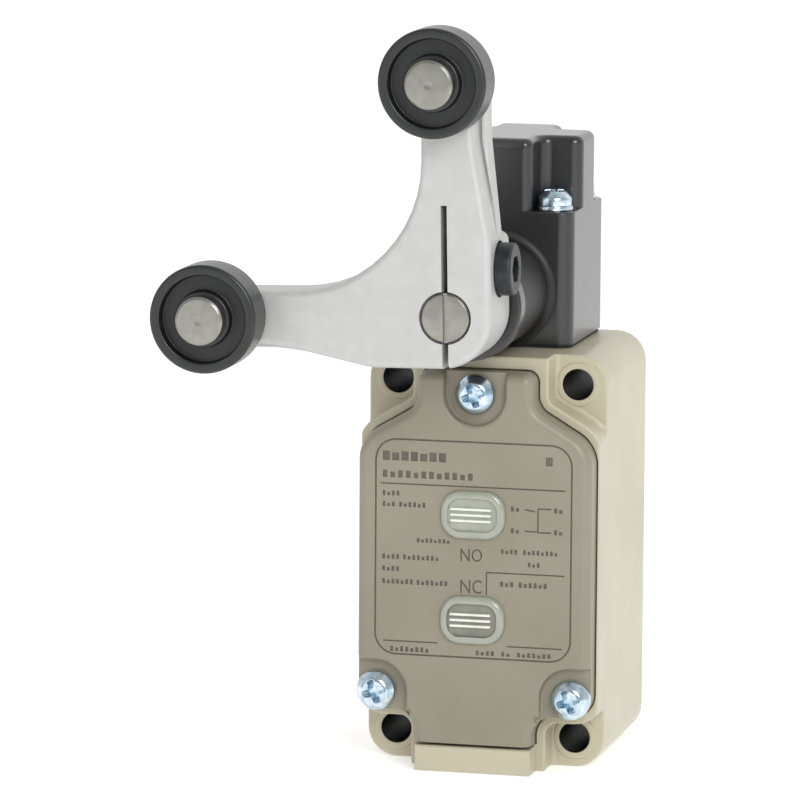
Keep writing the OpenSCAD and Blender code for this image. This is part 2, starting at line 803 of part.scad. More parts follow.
// ---------- lever ----------
arm_in = 3.6; // half width of an arm on its inner side
pad_out = 4.8; // half width of the front layer on its outer side
web_out = 6; // half width of the rear layer on its outer side
throat_r = lever_r * 0.56;
throat = [-arm_in - throat_r - 0.4, arm_in + throat_r + 0.4];
hub_right = 7.4; // flat right side of the hub, where the bolt goes in
hub_low = -8.25; // lower edge of the hub
hub_r = 8.2; // rounding between the two
hub_centre = [hub_right - hub_r, hub_low + hub_r];
function swap(p) = [-p[1], -p[0]]; // mirror in the lever's diagonal
function neck(out) = min(out + 1.9, hub_right);
function arm_outer(out) = [
    [out, lever_r], [out, lever_r * 0.74], [out + 0.7, lever_r * 0.54], [neck(out), lever_r * 0.33]
];
function reversed(list) = [for (i = [len(list) - 1:-1:0]) list[i]];

// Both arms and the rounded hub; out is the half width on the outer side.
module arms_plan(out) {
    polygon(concat(
        arm_outer(out),
        [[neck(out), 5]],
        arc(hub_centre, hub_r - 1.5, 0, -95, 14),
        reversed([for (p = arm_outer(out)) swap(p)]),
        [[-lever_r, arm_in]],
        arc(throat, throat_r, 270, 360, 20),
        [[-arm_in, lever_r]]));
    for (p = [[0, lever_r], [-lever_r, 0]]) translate(p) circle(arm_in + 1.7);
}

module hub_plan() {
    polygon(concat(
        [[hub_right, 15]],
        arc(hub_centre, hub_r, 0, -96, 24),
        [[-12.4, -8.1], [-12, 7.6], [-7.6, 12], [-3, 15]]));
}

module boss_plan() {
    polygon(concat(
        [[hub_right, 12.6]],
        arc(hub_centre, hub_r, 0, -96, 24),
        [[-9.8, -7], [-9.8, 8], [-6.5, 12.6]]));
}

module fork_lever() {
    web_back = lever_y + pad_t + web_t;
    color(cast) leaning() difference() {
        union() {
            slab(lever_y + pad_t + eps, lever_y) arms_plan(pad_out);
            slab(web_back, lever_y + pad_t) arms_plan(web_out);
            slab(web_back, lever_y) hub_plan();
            slab(hub_back_y, web_back - eps) boss_plan();
        }
        rod_y(0, 0, hub_back_y + 1, lever_y - 1, shaft_r + slip);
        block([-slit_w / 2, lever_y - 1, -14], [slit_w / 2, hub_back_y + 1, slit_top]);
        rod_x(bolt_y, bolt_z, bolt_seat_x, 20, bolt_head_d / 2 + 0.3);
        rod_x(bolt_y, bolt_z, 0, bolt_seat_x + 1, bolt_d / 2 + 0.2);
        rod_x(bolt_y, bolt_z, bolt_tip_x - 0.5, 1, bolt_d / 2 + slip);
        for (p = [[0, lever_r], [-lever_r, 0]])
            rod_y(p[0], p[1], web_back + 1, lever_y - 1, pin_d / 2 + slip);
    }
}

slit_top = 18;
bolt_tip_x = -7.5;

module clamp_bolt() {
    color("#2b2b2d") leaning() difference() {
        union() {
            rod_x(bolt_y, bolt_z, bolt_seat_x, bolt_seat_x + bolt_head_h, bolt_head_d / 2);
            rod_x(bolt_y, bolt_z, bolt_tip_x, bolt_seat_x + eps, bolt_d / 2);
        }
        translate([bolt_seat_x + bolt_head_h - 2.5, bolt_y, bolt_z]) rotate([0, 90, 0])
            cylinder(h = 3, r = bolt_d * 0.4 / cos(30), $fn = 6);
    }
}

// ---------- rollers ----------
recess_t = 1.8; // depth of the ring-shaped recess in a roller's front
module roller(x, z) {
    color("#2a2b2c") leaning() difference() {
        rod_y(x, z, roller_back_y, roller_y, roller_d / 2);
        rod_y(x, z, roller_back_y + 1, roller_y - 1, pin_d / 2 + roller_gap);
        difference() {
            rod_y(x, z, roller_y + recess_t, roller_y - 1, roller_d / 2 - 1.7);
            rod_y(x, z, roller_y + recess_t + 1, roller_y - 2, pin_head_d / 2 + 0.6);
        }
    }
}

module roller_top() { roller(0, lever_r); }

module roller_left() { roller(-lever_r, 0); }

module roller_pins() {
    web_back = lever_y + pad_t + web_t;
    color(steel) leaning() for (p = [[0, lever_r], [-lever_r, 0]]) difference() {
        union() {
            rod_y(p[0], p[1], web_back + 0.4, roller_y - 0.1, pin_d / 2);
            rod_y(p[0], p[1], roller_y - 0.1 + eps, roller_y - 0.1 - pin_head_t, pin_head_d / 2);
        }
        rod_y(p[0], p[1], roller_y - 0.1 - pin_head_t + 0.3, roller_y - 4, 0.6);
    }
}

body_housing();
front_cover();
cover_gasket();
cover_screws();
lens_upper();
lens_lower();
lamp_holder();
neon_lamp();
lamp_resistor();
lamp_springs();
head_housing();
head_gasket();
head_screws();
head_washers();
front_bush();
rear_bush();
shaft_seal();
operating_shaft();
position_collar();
operating_cam();
detent_drum();
retaining_ring();
plunger();
plunger_guide();
plunger_spring();
detent_plunger();
detent_spring();
detent_guide();
switch_case();
switch_cover();
switch_button();
contact_bridge();
closed_contacts();
open_contacts();
overtravel_spring();
bridge_spring();
terminal_screws();
switch_screws();
ground_screw();
fork_lever();
clamp_bolt();
roller_top();
roller_left();
roller_pins();
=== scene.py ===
import json
import math

import bmesh
import bpy
from mathutils import Matrix, Vector


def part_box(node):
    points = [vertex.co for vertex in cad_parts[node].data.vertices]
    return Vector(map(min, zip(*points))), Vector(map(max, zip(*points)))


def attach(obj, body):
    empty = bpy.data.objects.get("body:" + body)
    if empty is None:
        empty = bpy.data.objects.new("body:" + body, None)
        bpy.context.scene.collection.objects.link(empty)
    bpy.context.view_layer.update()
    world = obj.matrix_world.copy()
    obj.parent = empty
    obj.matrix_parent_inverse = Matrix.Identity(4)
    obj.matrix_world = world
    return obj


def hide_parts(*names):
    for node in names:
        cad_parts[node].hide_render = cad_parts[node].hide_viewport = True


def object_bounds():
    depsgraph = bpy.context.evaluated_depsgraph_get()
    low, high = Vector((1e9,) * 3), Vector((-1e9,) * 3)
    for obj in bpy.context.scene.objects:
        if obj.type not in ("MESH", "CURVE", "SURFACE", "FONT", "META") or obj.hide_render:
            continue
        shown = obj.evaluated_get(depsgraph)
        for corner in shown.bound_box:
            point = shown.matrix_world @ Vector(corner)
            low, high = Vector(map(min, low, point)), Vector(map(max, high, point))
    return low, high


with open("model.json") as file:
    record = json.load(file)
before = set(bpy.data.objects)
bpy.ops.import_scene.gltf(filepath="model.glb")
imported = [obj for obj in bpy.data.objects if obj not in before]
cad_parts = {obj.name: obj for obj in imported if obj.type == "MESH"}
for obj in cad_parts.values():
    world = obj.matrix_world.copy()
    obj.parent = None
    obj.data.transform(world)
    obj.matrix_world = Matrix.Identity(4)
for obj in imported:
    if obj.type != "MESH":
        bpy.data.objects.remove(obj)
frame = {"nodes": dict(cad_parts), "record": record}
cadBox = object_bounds()
record = frame["record"]
mm = 0.001
past = 1 * mm  # how far a cutter or a buried end reaches past the face it crosses
hair = 0.01 * mm  # places closer than this count as the same
slip = 0.02 * mm  # room left round a piece that sits in another
alongY = (0, 1, 0)
alongZ = (0, 0, 1)
print("frame loaded")


def objectMode():
    bpy.ops.object.mode_set(mode="OBJECT")


def deselectAll():
    if bpy.context.object and bpy.context.object.mode != "OBJECT":
        objectMode()
    bpy.ops.object.select_all(action="DESELECT")


def useOnly(piece):
    deselectAll()
    piece.select_set(True)
    bpy.context.view_layer.objects.active = piece


def editMode(piece, kind="EDGE"):
    useOnly(piece)
    bpy.ops.object.mode_set(mode="EDIT")
    bpy.ops.mesh.select_mode(type=kind)
    bpy.ops.mesh.select_all(action="DESELECT")


def editAll(piece):
    useOnly(piece)
    bpy.ops.object.mode_set(mode="EDIT")
    bpy.ops.mesh.select_all(action="SELECT")


def selectVerts(piece, wanted):
    mesh = bmesh.from_edit_mesh(piece.data)
    for vert in mesh.verts:
        vert.select = wanted(vert.co)
    mesh.select_flush(True)
    bmesh.update_edit_mesh(piece.data)


def selectEdges(piece, wanted):
    mesh = bmesh.from_edit_mesh(piece.data)
    found = 0
    for edge in mesh.edges:  # edges inside a flat face are never taken
        edge.select = len(edge.link_faces) == 2 and edge.calc_face_angle(0) > 0.3 and wanted(edge)
        found += edge.select
    bmesh.update_edit_mesh(piece.data)
    return found


def placeHere(piece):
    useOnly(piece)
    bpy.ops.object.transform_apply(location=True, rotation=True, scale=True)


# An outline is a list of corners (across, up, radius), and a plane gives their place.
def frontPlane(depth, centre=(0, 0)):
    return lambda u, v: Vector((centre[0] + u, depth, centre[1] + v))


def levelPlane(height, centre=(0, 0)):
    return lambda u, v: Vector((centre[0] + u, centre[1] + v, height))


def sidePlane(x, centre=(0, 0)):
    return lambda u, v: Vector((x, centre[0] + u, centre[1] + v))


def outline(name, corners, plane, steps=8):
    # one point, extruded from corner to corner, closed to a face, its corners rounded one by one
    places = [plane(c[0], c[1]) for c in corners]
    deselectAll()
    bpy.ops.mesh.primitive_plane_add(size=mm, location=places[0])
    piece = bpy.context.object
    piece.name = name
    placeHere(piece)
    bpy.ops.object.mode_set(mode="EDIT")
    bpy.ops.mesh.select_mode(type="VERT")
    bpy.ops.mesh.select_all(action="SELECT")
    bpy.ops.mesh.merge(type="CENTER")
    for here, there in zip(places, places[1:]):
        bpy.ops.mesh.extrude_region_move(TRANSFORM_OT_translate={"value": there - here})
    bpy.ops.mesh.select_all(action="SELECT")
    bpy.ops.mesh.edge_face_add()
    for i, corner in enumerate(corners):
        if corner[2] <= 0:
            continue
        here, back, ahead = places[i], places[i - 1], places[(i + 1) % len(places)]
        half = (back - here).angle(ahead - here) / 2
        selectVerts(piece, lambda co: (co - here).length < 0.002 * mm)
        bpy.ops.mesh.bevel(offset_type="OFFSET", offset=corner[2] / math.tan(half), segments=steps,
                           profile=0.5, affect="VERTICES", clamp_overlap=False)
    objectMode()
    return piece


def mirrored(corners):
    # right half from top to bottom, then the same corners on the left from bottom to top
    return corners + [(-c[0], c[1], c[2]) for c in reversed(corners)]


def rounded(width, height, radius):
    return mirrored([(width / 2, height / 2, radius), (width / 2, -height / 2, radius)])


def grown(corners, amount):
    # the same outline moved outwards by amount, with its round corners concentric
    points = [Vector(c[:2]) for c in corners]
    area = sum(a.cross(b) for a, b in zip(points, points[1:] + points[:1]))
    turn = 1 if area > 0 else -1
    moved = []
    for i, corner in enumerate(corners):
        into = (points[i] - points[i - 1]).normalized()
        out = (points[(i + 1) % len(points)] - points[i]).normalized()
        normalIn = Vector((into.y, -into.x)) * turn
        normalOut = Vector((out.y, -out.x)) * turn
        mitre = (normalIn + normalOut) / (1 + normalIn.dot(normalOut))
        convex = into.cross(out) * turn > 0
        radius = corner[2] + (amount if convex else -amount) if corner[2] > 0 else 0
        place = points[i] + mitre * amount
        moved.append((place.x, place.y, max(radius, 0)))
    return moved


def thicken(piece, move):
    editAll(piece)
    bpy.ops.mesh.extrude_region_move(TRANSFORM_OT_translate={"value": move})
    bpy.ops.mesh.select_all(action="SELECT")
    bpy.ops.mesh.normals_make_consistent(inside=False)
    objectMode()
    return piece


def slab(name, corners, back, front, centre=(0, 0), steps=8):
    return thicken(outline(name, corners, frontPlane(back, centre), steps), Vector((0, front - back, 0)))


def column(name, corners, low, high, centre=(0, 0), steps=8):
    return thicken(outline(name, corners, levelPlane(low, centre), steps), Vector((0, 0, high - low)))


def block(name, low, high):
    corners = rounded(high[0] - low[0], high[2] - low[2], 0)
    return slab(name, corners, high[1], low[1], ((low[0] + high[0]) / 2, (low[2] + high[2]) / 2))


def rod(name, start, end, radius, sides=48):
    along = Vector(end) - Vector(start)
    deselectAll()
    bpy.ops.mesh.primitive_cylinder_add(vertices=sides, radius=radius, depth=along.length,
                                        location=(Vector(start) + Vector(end)) / 2,
                                        rotation=along.to_track_quat("Z", "Y").to_euler())
    piece = bpy.context.object
    piece.name = name
    placeHere(piece)
    return piece


def turned(name, profile, centre, axis, sides=72, steps=4):
    # profile corners are (radius, place along the axis, corner radius), spun once round the axis
    axis = Vector(axis)
    across = Vector((0, 0, 1)) if abs(axis.z) < 0.5 else Vector((1, 0, 0))
    centre = Vector(centre)
    piece = outline(name, profile, lambda u, v: centre + across * u + axis * v, steps)
    editMode(piece, "FACE")
    bpy.ops.mesh.select_all(action="SELECT")
    bpy.ops.mesh.delete(type="ONLY_FACE")
    bpy.ops.mesh.select_mode(type="EDGE")
    mesh = bmesh.from_edit_mesh(piece.data)
    for edge in mesh.edges:
        edge.select = all(abs((v.co - centre).dot(across)) < 0.001 * mm for v in edge.verts)
    bmesh.update_edit_mesh(piece.data)
    bpy.ops.mesh.delete(type="EDGE")
    bpy.ops.mesh.select_all(action="SELECT")
    bpy.ops.mesh.spin(steps=sides, angle=2 * math.pi, center=centre, axis=axis)
    bpy.ops.mesh.select_all(action="SELECT")
    bpy.ops.mesh.remove_doubles(threshold=0.0005 * mm)
    bpy.ops.mesh.normals_make_consistent(inside=False)
    objectMode()
    return piece


def combine(piece, other, operation):
    useOnly(piece)
    change = piece.modifiers.new("Combine", "BOOLEAN")
    change.operation = operation
    change.object = other
    change.solver = "EXACT"
    change.material_mode = "TRANSFER"
    bpy.ops.object.modifier_apply(modifier=change.name)
    bpy.data.objects.remove(other)
    return piece


def add(piece, other):
    return combine(piece, other, "UNION")


def cut(piece, other):
    return combine(piece, other, "DIFFERENCE")


def mergeFlats(piece):
    editMode(piece)
    bpy.ops.mesh.select_all(action="SELECT")
    bpy.ops.mesh.remove_doubles(threshold=0.001 * mm)
    bpy.ops.mesh.dissolve_limited(angle_limit=math.radians(0.6))
    objectMode()
    return piece


def roundEdges(piece, wanted, width, steps=4):
    # wanted tells from an edge whether it is rounded
    editMode(piece)
    if selectEdges(piece, wanted):
        bpy.ops.mesh.bevel(offset_type="OFFSET", offset=width, segments=steps, profile=0.5,
                           affect="EDGES", clamp_overlap=False, miter_outer="ARC")
    else:
        print("no edges to round on", piece.name)
    objectMode()
    return piece


def inPlane(axis, place):
    return lambda edge: all(abs(v.co[axis] - place) < hair for v in edge.verts)


def softEdges(piece, width=0, steps=2, angle=50, smooth=35):
    # a small bevel on every edge sharper than angle, then smooth shading with flat faces kept flat
    editAll(piece)
    bpy.ops.mesh.dissolve_degenerate(threshold=0.001 * mm)
    objectMode()
    if width > 0:
        edges = piece.modifiers.new("Soft edges", "BEVEL")
        edges.width = width
        edges.segments = steps
        edges.limit_method = "ANGLE"
        edges.angle_limit = math.radians(angle)
        edges.use_clamp_overlap = True
        edges.miter_outer = "MITER_ARC"
        bpy.ops.object.modifier_apply(modifier=edges.name)
    bpy.ops.object.shade_smooth_by_angle(angle=math.radians(smooth))
    flats = piece.modifiers.new("Flat faces", "WEIGHTED_NORMAL")
    flats.keep_sharp = True
    bpy.ops.object.modifier_apply(modifier=flats.name)
    return piece


def copyOf(piece, name, move=(0, 0, 0)):
    twin = piece.copy()
    twin.data = piece.data.copy()
    twin.name = name
    twin.data.name = name
    bpy.context.scene.collection.objects.link(twin)
    twin.location = Vector(move)
    placeHere(twin)
    return twin


def turnCopy(piece, angle, axis, centre):
    useOnly(piece)
    centre = Vector(centre)
    turn = Matrix.Rotation(angle, 4, axis)
    piece.matrix_world = Matrix.Translation(centre) @ turn @ Matrix.Translation(-centre)
    placeHere(piece)
    return piece


def joinPieces(name, pieces):
    deselectAll()
    for piece in pieces:
        piece.select_set(True)
    bpy.context.view_layer.objects.active = pieces[0]
    bpy.ops.object.join()
    pieces[0].name = name
    return pieces[0]


def middle(node):
    low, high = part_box(node)
    return (low + high) / 2


def finished(piece, body, slotName, *nodes):
    placeHere(piece)
    if not any(piece.data.materials):
        piece.data.materials.clear()
        piece.data.materials.append(finishes[slotName])
    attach(piece, body)
    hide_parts(*nodes)
    return piece


def linear(code):
    parts = [int(code[i:i + 2], 16) / 255 for i in (1, 3, 5)]
    return [p / 12.92 if p <= 0.04045 else ((p + 0.055) / 1.055) ** 2.4 for p in parts] + [1]


# base and second colour, metallic, roughness range, size of the colour patches and of the grain
# in millimetres, height of the grain, coat weight, and clear for how much light goes through
finishTable = {
    "beige_enamel": {"base": "#bab49e", "second": "#b4ae96", "rough": (0.36, 0.44), "patch": 14,
                     "grain": 0.55, "height": 0.10, "coat": 0.15},
    "cover_enamel": {"base": "#8a8574", "second": "#857f6e", "rough": (0.38, 0.48), "patch": 12,
                     "grain": 0.50, "height": 0.10, "coat": 0.10},
    "charcoal_enamel": {"base": "#0e0e0f", "second": "#111112", "rough": (0.36, 0.42), "patch": 9,
                        "grain": 0.60, "height": 0.10, "coat": 0.75},
    "boss_enamel": {"base": "#101011", "second": "#131314", "rough": (0.5, 0.58), "patch": 9, "grain": 0.60,
                    "height": 0.12, "coat": 0.1},
    "cast_alloy": {"base": "#bebebd", "second": "#b9b9b8", "metal": 0.35, "rough": (0.44, 0.52), "patch": 2.5,
                   "grain": 0.25, "height": 0.30},
    "plain_steel": {"base": "#9a9a94", "second": "#909089", "metal": 1, "rough": (0.28, 0.36), "patch": 1.6,
                    "grain": 0.18, "height": 0.20},
    "zinc_plate": {"base": "#dbe6ec", "second": "#a9c3d4", "metal": 1, "rough": (0.14, 0.28), "patch": 1.2,
                   "grain": 0.3, "height": 0.16},
    "spring_steel": {"base": "#9a9a96", "second": "#77776f", "metal": 1, "rough": (0.25, 0.4), "patch": 1,
                     "grain": 0.12, "height": 0.1},
    "black_steel": {"base": "#2b2c2e", "second": "#3a3b3d", "metal": 0.6, "rough": (0.34, 0.5), "patch": 2,
                    "grain": 0.2, "height": 0.2},
    "brass": {"base": "#c9a24b", "second": "#b08a3a", "metal": 1, "rough": (0.22, 0.36), "patch": 2.5,
              "grain": 0.2, "height": 0.1},
    "black_rubber": {"base": "#161616", "second": "#1e1e1e", "rough": (0.6, 0.75), "patch": 4, "grain": 0.3,
                     "height": 0.2},
    "roller_plastic": {"base": "#0f1011", "second": "#121314", "rough": (0.38, 0.46), "patch": 5,
                       "grain": 0.35, "height": 0.12, "coat": 0.35},
    # roller recess: a darker copy of the roller plastic, painted shade in the recess
    "roller_recess_painted_shade": {"base": "#0b0b0c", "second": "#101112", "rough": (0.42, 0.5), "patch": 5, "grain": 0.35,
                      "height": 0.12, "coat": 0.2},
    "phenolic": {"base": "#4b2e22", "second": "#5d3b2b", "rough": (0.35, 0.5), "patch": 1.2, "grain": 0.3,
                 "height": 0.15},
    "ivory_plastic": {"base": "#e2dac4", "second": "#d6cdb4", "rough": (0.35, 0.45), "patch": 5, "grain": 0.4,
                      "height": 0.08},
    "window_plastic": {"base": "#b2b7a7", "second": "#a9af9e", "rough": (0.10, 0.16), "patch": 3,
                       "grain": 0.5, "height": 0.03, "coat": 1.0, "clear": 0.3},
    "lamp_glass": {"base": "#f0c8a8", "second": "#e0b090", "rough": (0.04, 0.1), "patch": 2, "grain": 0.5,
                   "height": 0.02, "clear": 0.6},
    "resistor_body": {"base": "#7a5c42", "second": "#6a4c34", "rough": (0.35, 0.5), "patch": 1, "grain": 0.2,
                      "height": 0.15},
    # lens recess floors: darker copies of the window plastic, painted shade; the second is darker still, for
    # the lower lens
    "window_recess_painted_shade": {"base": "#9c9f90", "second": "#8f9384", "rough": (0.12, 0.2), "patch": 2.5, "grain": 0.5,
                     "height": 0.03, "coat": 1.0},
    "window_recess_painted_deep_shade": {"base": "#77766a", "second": "#6b6a5f", "rough": (0.12, 0.2), "patch": 2.5, "grain": 0.5,
                    "height": 0.03, "coat": 1.0},
    # lens ribs: a whiter copy of the window plastic, painted highlight on the ribs
    "window_rib_painted_highlight": {"base": "#dfe1d8", "second": "#d5d8cc", "rough": (0.12, 0.2), "patch": 2.5, "grain": 0.5,
                   "height": 0.03, "coat": 1.0},
    # bore walls: near-black, painted shade inside the mounting holes
    "bore_painted_shade": {"base": "#15140f", "second": "#1c1b17", "rough": (0.4, 0.55), "patch": 2, "grain": 0.3,
                  "height": 0.1},
    "engraving": {"base": "#57534a", "second": "#615d52", "rough": (0.5, 0.65), "patch": 1.5, "grain": 0.2,
                  "height": 0.1},
}


def makeFinish(name, look):
    material = bpy.data.materials.new(name)
    material.use_nodes = True
    nodes, links = material.node_tree.nodes, material.node_tree.links
    shader = nodes["Principled BSDF"]
    shader.inputs["Metallic"].default_value = look.get("metal", 0)
    shader.inputs["Coat Weight"].default_value = look.get("coat", 0)
    shader.inputs["Coat Roughness"].default_value = 0.22
    shader.inputs["Transmission Weight"].default_value = look.get("clear", 0)
    place = nodes.new("ShaderNodeTexCoord")

    patches = nodes.new("ShaderNodeTexNoise")  # slow change of colour
    patches.inputs["Scale"].default_value = 1000 / look["patch"]
    patches.inputs["Detail"].default_value = 4
    links.new(place.outputs["Object"], patches.inputs["Vector"])
    colours = nodes.new("ShaderNodeValToRGB")
    colours.color_ramp.elements[0].position = 0.35
    colours.color_ramp.elements[1].position = 0.65
    colours.color_ramp.elements[0].color = linear(look["base"])
    colours.color_ramp.elements[1].color = linear(look["second"])
    links.new(patches.outputs["Fac"], colours.inputs["Fac"])
    links.new(colours.outputs["Color"], shader.inputs["Base Color"])

    grain = nodes.new("ShaderNodeTexNoise")  # fine surface grain
    grain.inputs["Scale"].default_value = 1000 / look["grain"]
    grain.inputs["Detail"].default_value = 3
    links.new(place.outputs["Object"], grain.inputs["Vector"])
    rough = nodes.new("ShaderNodeMapRange")
    rough.inputs["To Min"].default_value = look["rough"][0]
    rough.inputs["To Max"].default_value = look["rough"][1]
    links.new(patches.outputs["Fac"], rough.inputs["Value"])
    links.new(rough.outputs["Result"], shader.inputs["Roughness"])
    bump = nodes.new("ShaderNodeBump")
    bump.inputs["Strength"].default_value = look["height"]
    bump.inputs["Distance"].default_value = 0.05 * mm
    links.new(grain.outputs["Fac"], bump.inputs["Height"])
    links.new(bump.outputs["Normal"], shader.inputs["Normal"])
    return material


finishes = {name: makeFinish(name, look) for name, look in finishTable.items()}
print("finishes made")

body = {
    "cornerRadius": 4.9 * mm,
    "lugFront": -31 * mm,
    "rimFront": -36.5 * mm,
    "rimMargin": 1.6 * mm,
    "rearWall": 4 * mm,
    "sideWall": 2.7 * mm,
    "coverGap": 0.25 * mm,
    "cavityTop": 21.6 * mm,
    "cavityBottom": -22.3 * mm,
    "lugFillet": 0.9 * mm,
    "edgeRound": 0.4 * mm,
    "rearRound": 0.5 * mm,
    "ringRadius": 3.7 * mm,
    "ringHeight": 0.25 * mm,
    "cavityCorner": 4.5 * mm,
    "pillarRadius": 4.3 * mm,
    "coverThread": 2.02 * mm,
    "headThread": 1.77 * mm,
    "innerThread": 1.52 * mm,
    "threadDepth": 8 * mm,
    "innerThreadDepth": 5 * mm,
    "threadPitch": 1.4 * mm,
    "grooveDepth": 0.7 * mm,
}
cover = {
    "shoulder": (9.7 * mm, 26.2 * mm, 3.2 * mm),
    "upperCorner": (20.4 * mm, 5.5 * mm),
    "lowerCorner": (-24.5 * mm, 3.4 * mm),
    "tongueCorner": 1.8 * mm,
    "lowerFillet": 3.6 * mm,
    "crown": 1.6 * mm,
    "wall": 2.5 * mm,
    "pocketRadius": 5.1 * mm,
    "pocketFloor": -39.3 * mm,
    "pocketRound": 0.6 * mm,
    "floorRound": 0.4 * mm,
    "screwHole": 2.2 * mm,
    "topScrew": 28.4 * mm,
    "lowScrew": (16.3 * mm, -21.3 * mm),
    "frame": (33.0 * mm, 35.9 * mm, 3.6 * mm),
    "frameCentre": (0, 2.85 * mm),
    "lineWidth": 0.28 * mm,
    "engravingDepth": 0.14 * mm,
}

bodyLow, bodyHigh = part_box("body_housing")
coverLow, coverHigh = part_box("front_cover")
gasketLow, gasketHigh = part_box("cover_gasket")
headLow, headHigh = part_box("head_housing")
holes = next(m for m in record["mounts"] if m["name"] == "mounting_holes")["dims"]
holeX = holes["spacing_x_mm"] / 2 * mm
holeZ = holes["spacing_y_mm"] / 2 * mm
holeRadius = holes["hole_r_mm"] * mm
conduit = next(m for m in record["mounts"] if m["name"] == "conduit_entry")
screws = {
    "coverHead": 3.3 * mm,
    "coverShank": 2 * mm,
    "headHead": 2.85 * mm,
    "headShank": 1.75 * mm,
    "crossReach": 0.62,  # share of the screw head's radius
    "crossWing": 0.27,  # share of the cross's own reach
    "crossDepth": 0.62,  # share of the screw head's height
    "turn": 20,  # degrees that each cross is turned
    "washerRadius": 3.05 * mm,
    "washerHole": 1.85 * mm,
    "washerGap": 0.6 * mm,
    "apart": 7 * mm,  # screws of one node stand further apart than this
}
screwPlaces = [(0, cover["topScrew"]), cover["lowScrew"], (-cover["lowScrew"][0], cover["lowScrew"][1])]

coverRight = [
    (cover["shoulder"][0], coverHigh.z, cover["tongueCorner"]),
    cover["shoulder"],
    (coverHigh.x, cover["upperCorner"][0], cover["upperCorner"][1]),
    (coverHigh.x, cover["lowerCorner"][0], cover["lowerCorner"][1]),
    (cover["shoulder"][0], cover["lowerCorner"][0], cover["lowerFillet"]),
    (cover["shoulder"][0], coverLow.z, 0),
]
coverCorners = mirrored(coverRight)
bodyCorners = rounded(bodyHigh.x - bodyLow.x, bodyHigh.z - bodyLow.z, body["cornerRadius"])


def onBodyOutline(co):
    # is a point on the body's outer wall, seen from the front
    r = body["cornerRadius"]
    x, z = abs(co.x) - (bodyHigh.x - r), abs(co.z) - (bodyHigh.z - r)
    away = math.hypot(x, z) if x > 0 and z > 0 else max(x, z)
    return abs(away - r) < 0.02 * mm


def lugRecess(side, upper):
    # what is cut away in front of one lug, its lower edge rounded so that it leaves a fillet
    rimLine = grown(coverCorners, body["rimMargin"])[1:5]
    first, second = (rimLine[0], rimLine[1]) if upper else (rimLine[3], rimLine[2])
    far, near = (45 * mm, 8 * mm) if upper else (-45 * mm, -8 * mm)
    outside = 35 * mm
    corners = [(first[0], far, 0), first, second, (second[0], near, 0), (outside, near, 0), (outside, far, 0)]
    corners = [(side * c[0], c[1], c[2]) for c in corners]
    piece = slab("recess", corners, body["lugFront"], body["rimFront"] - past)
    return roundEdges(piece, inPlane(1, body["lugFront"]), body["lugFillet"])


def makeBody():
    lugs, rim = body["lugFront"], body["rimFront"]
    piece = slab("bodyHousing", bodyCorners, bodyHigh.y, rim)
    piece.data.materials.append(finishes["beige_enamel"])
    for side in (-1, 1):
        for upper in (True, False):
            cut(piece, lugRecess(side, upper))
    mergeFlats(piece)
    wallEdge = lambda edge: all(onBodyOutline(v.co) and v.co.y < lugs * 0.7 for v in edge.verts)
    roundEdges(piece, lambda edge: edge.is_convex and (wallEdge(edge) or inPlane(1, rim)(edge)),
               body["edgeRound"])
    roundEdges(piece, inPlane(1, bodyHigh.y), body["rearRound"], 3)
    tongue = cover["shoulder"][0]
    boss = block("boss", (-tongue, bodyLow.y, bodyLow.z), (tongue, lugs + past, coverLow.z - 0.5 * mm))
    roundEdges(boss, inPlane(1, bodyLow.y), body["edgeRound"])
    add(piece, boss)

    for sideX in (-1, 1):
        for sideZ in (-1, 1):
            x, z = sideX * holeX, sideZ * holeZ
            ring = turned("ring", [(holeRadius * 0.8, 1 * mm, 0), (body["ringRadius"], 1 * mm, 0),
                                   (body["ringRadius"] - 0.1 * mm, -body["ringHeight"], 0.15 * mm),
                                   (holeRadius + 0.25 * mm, -body["ringHeight"], 0),
                                   (holeRadius * 0.8, -body["ringHeight"] + 0.25 * mm, 0)],
                          (x, lugs, z), alongY, 48, 3)
            add(piece, ring)
            hole = rod("hole", (x, bodyHigh.y + past, z), (x, rim - past, z), holeRadius, 48)
            # the hole's walls get the near-black painted shade
            hole.data.materials.append(finishes["bore_painted_shade"])
            cut(piece, hole)

    land = gasketHigh.y
    cut(piece, slab("coverSeat", grown(coverCorners, body["coverGap"]), land, rim - past))
    top, bottom = body["cavityTop"], body["cavityBottom"]
    cavity = slab("cavity", rounded(2 * (bodyHigh.x - body["sideWall"]), top - bottom, body["cavityCorner"]),
                  -body["rearWall"], rim, (0, (top + bottom) / 2), 6)
    for sideX in (-1, 1):
        x, z = sideX * cover["lowScrew"][0], cover["lowScrew"][1]
        cut(cavity, rod("pillar", (x, past, z), (x, rim - past, z), body["pillarRadius"]))
    cut(piece, cavity)
    for x, z in screwPlaces:
        cut(piece, rod("thread", (x, land + body["threadDepth"], z), (x, rim, z), body["coverThread"], 24))

    headMiddle = middle("head_gasket").y
    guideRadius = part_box("plunger_guide")[1].x - 1.8 * mm
    cut(piece, rod("guideHole", (0, headMiddle, top - past), (0, headMiddle, bodyHigh.z + past),
                   guideRadius + 0.05 * mm))
    for x, y in headScrewPlaces():
        cut(piece, rod("thread", (x, y, bodyHigh.z - body["threadDepth"]), (x, y, bodyHigh.z + past),
                       body["headThread"], 24))
    for node in ("switch_screws", "ground_screw"):
        for x, z in shankPlaces(node):
            cut(piece, rod("thread", (x, -1.2 * mm, z), (x, -body["innerThreadDepth"], z),
                           body["innerThread"], 20))
    cut(piece, conduitThread(bottom))

    softEdges(piece)
    return finished(piece, "housing", "beige_enamel", "body_housing")


def headScrewPlaces():
    low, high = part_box("head_washers")
    washer = screws["washerRadius"]
    return [(x, y) for x in (low.x + washer, high.x - washer)
            for y in (low.y + washer, high.y - washer)]


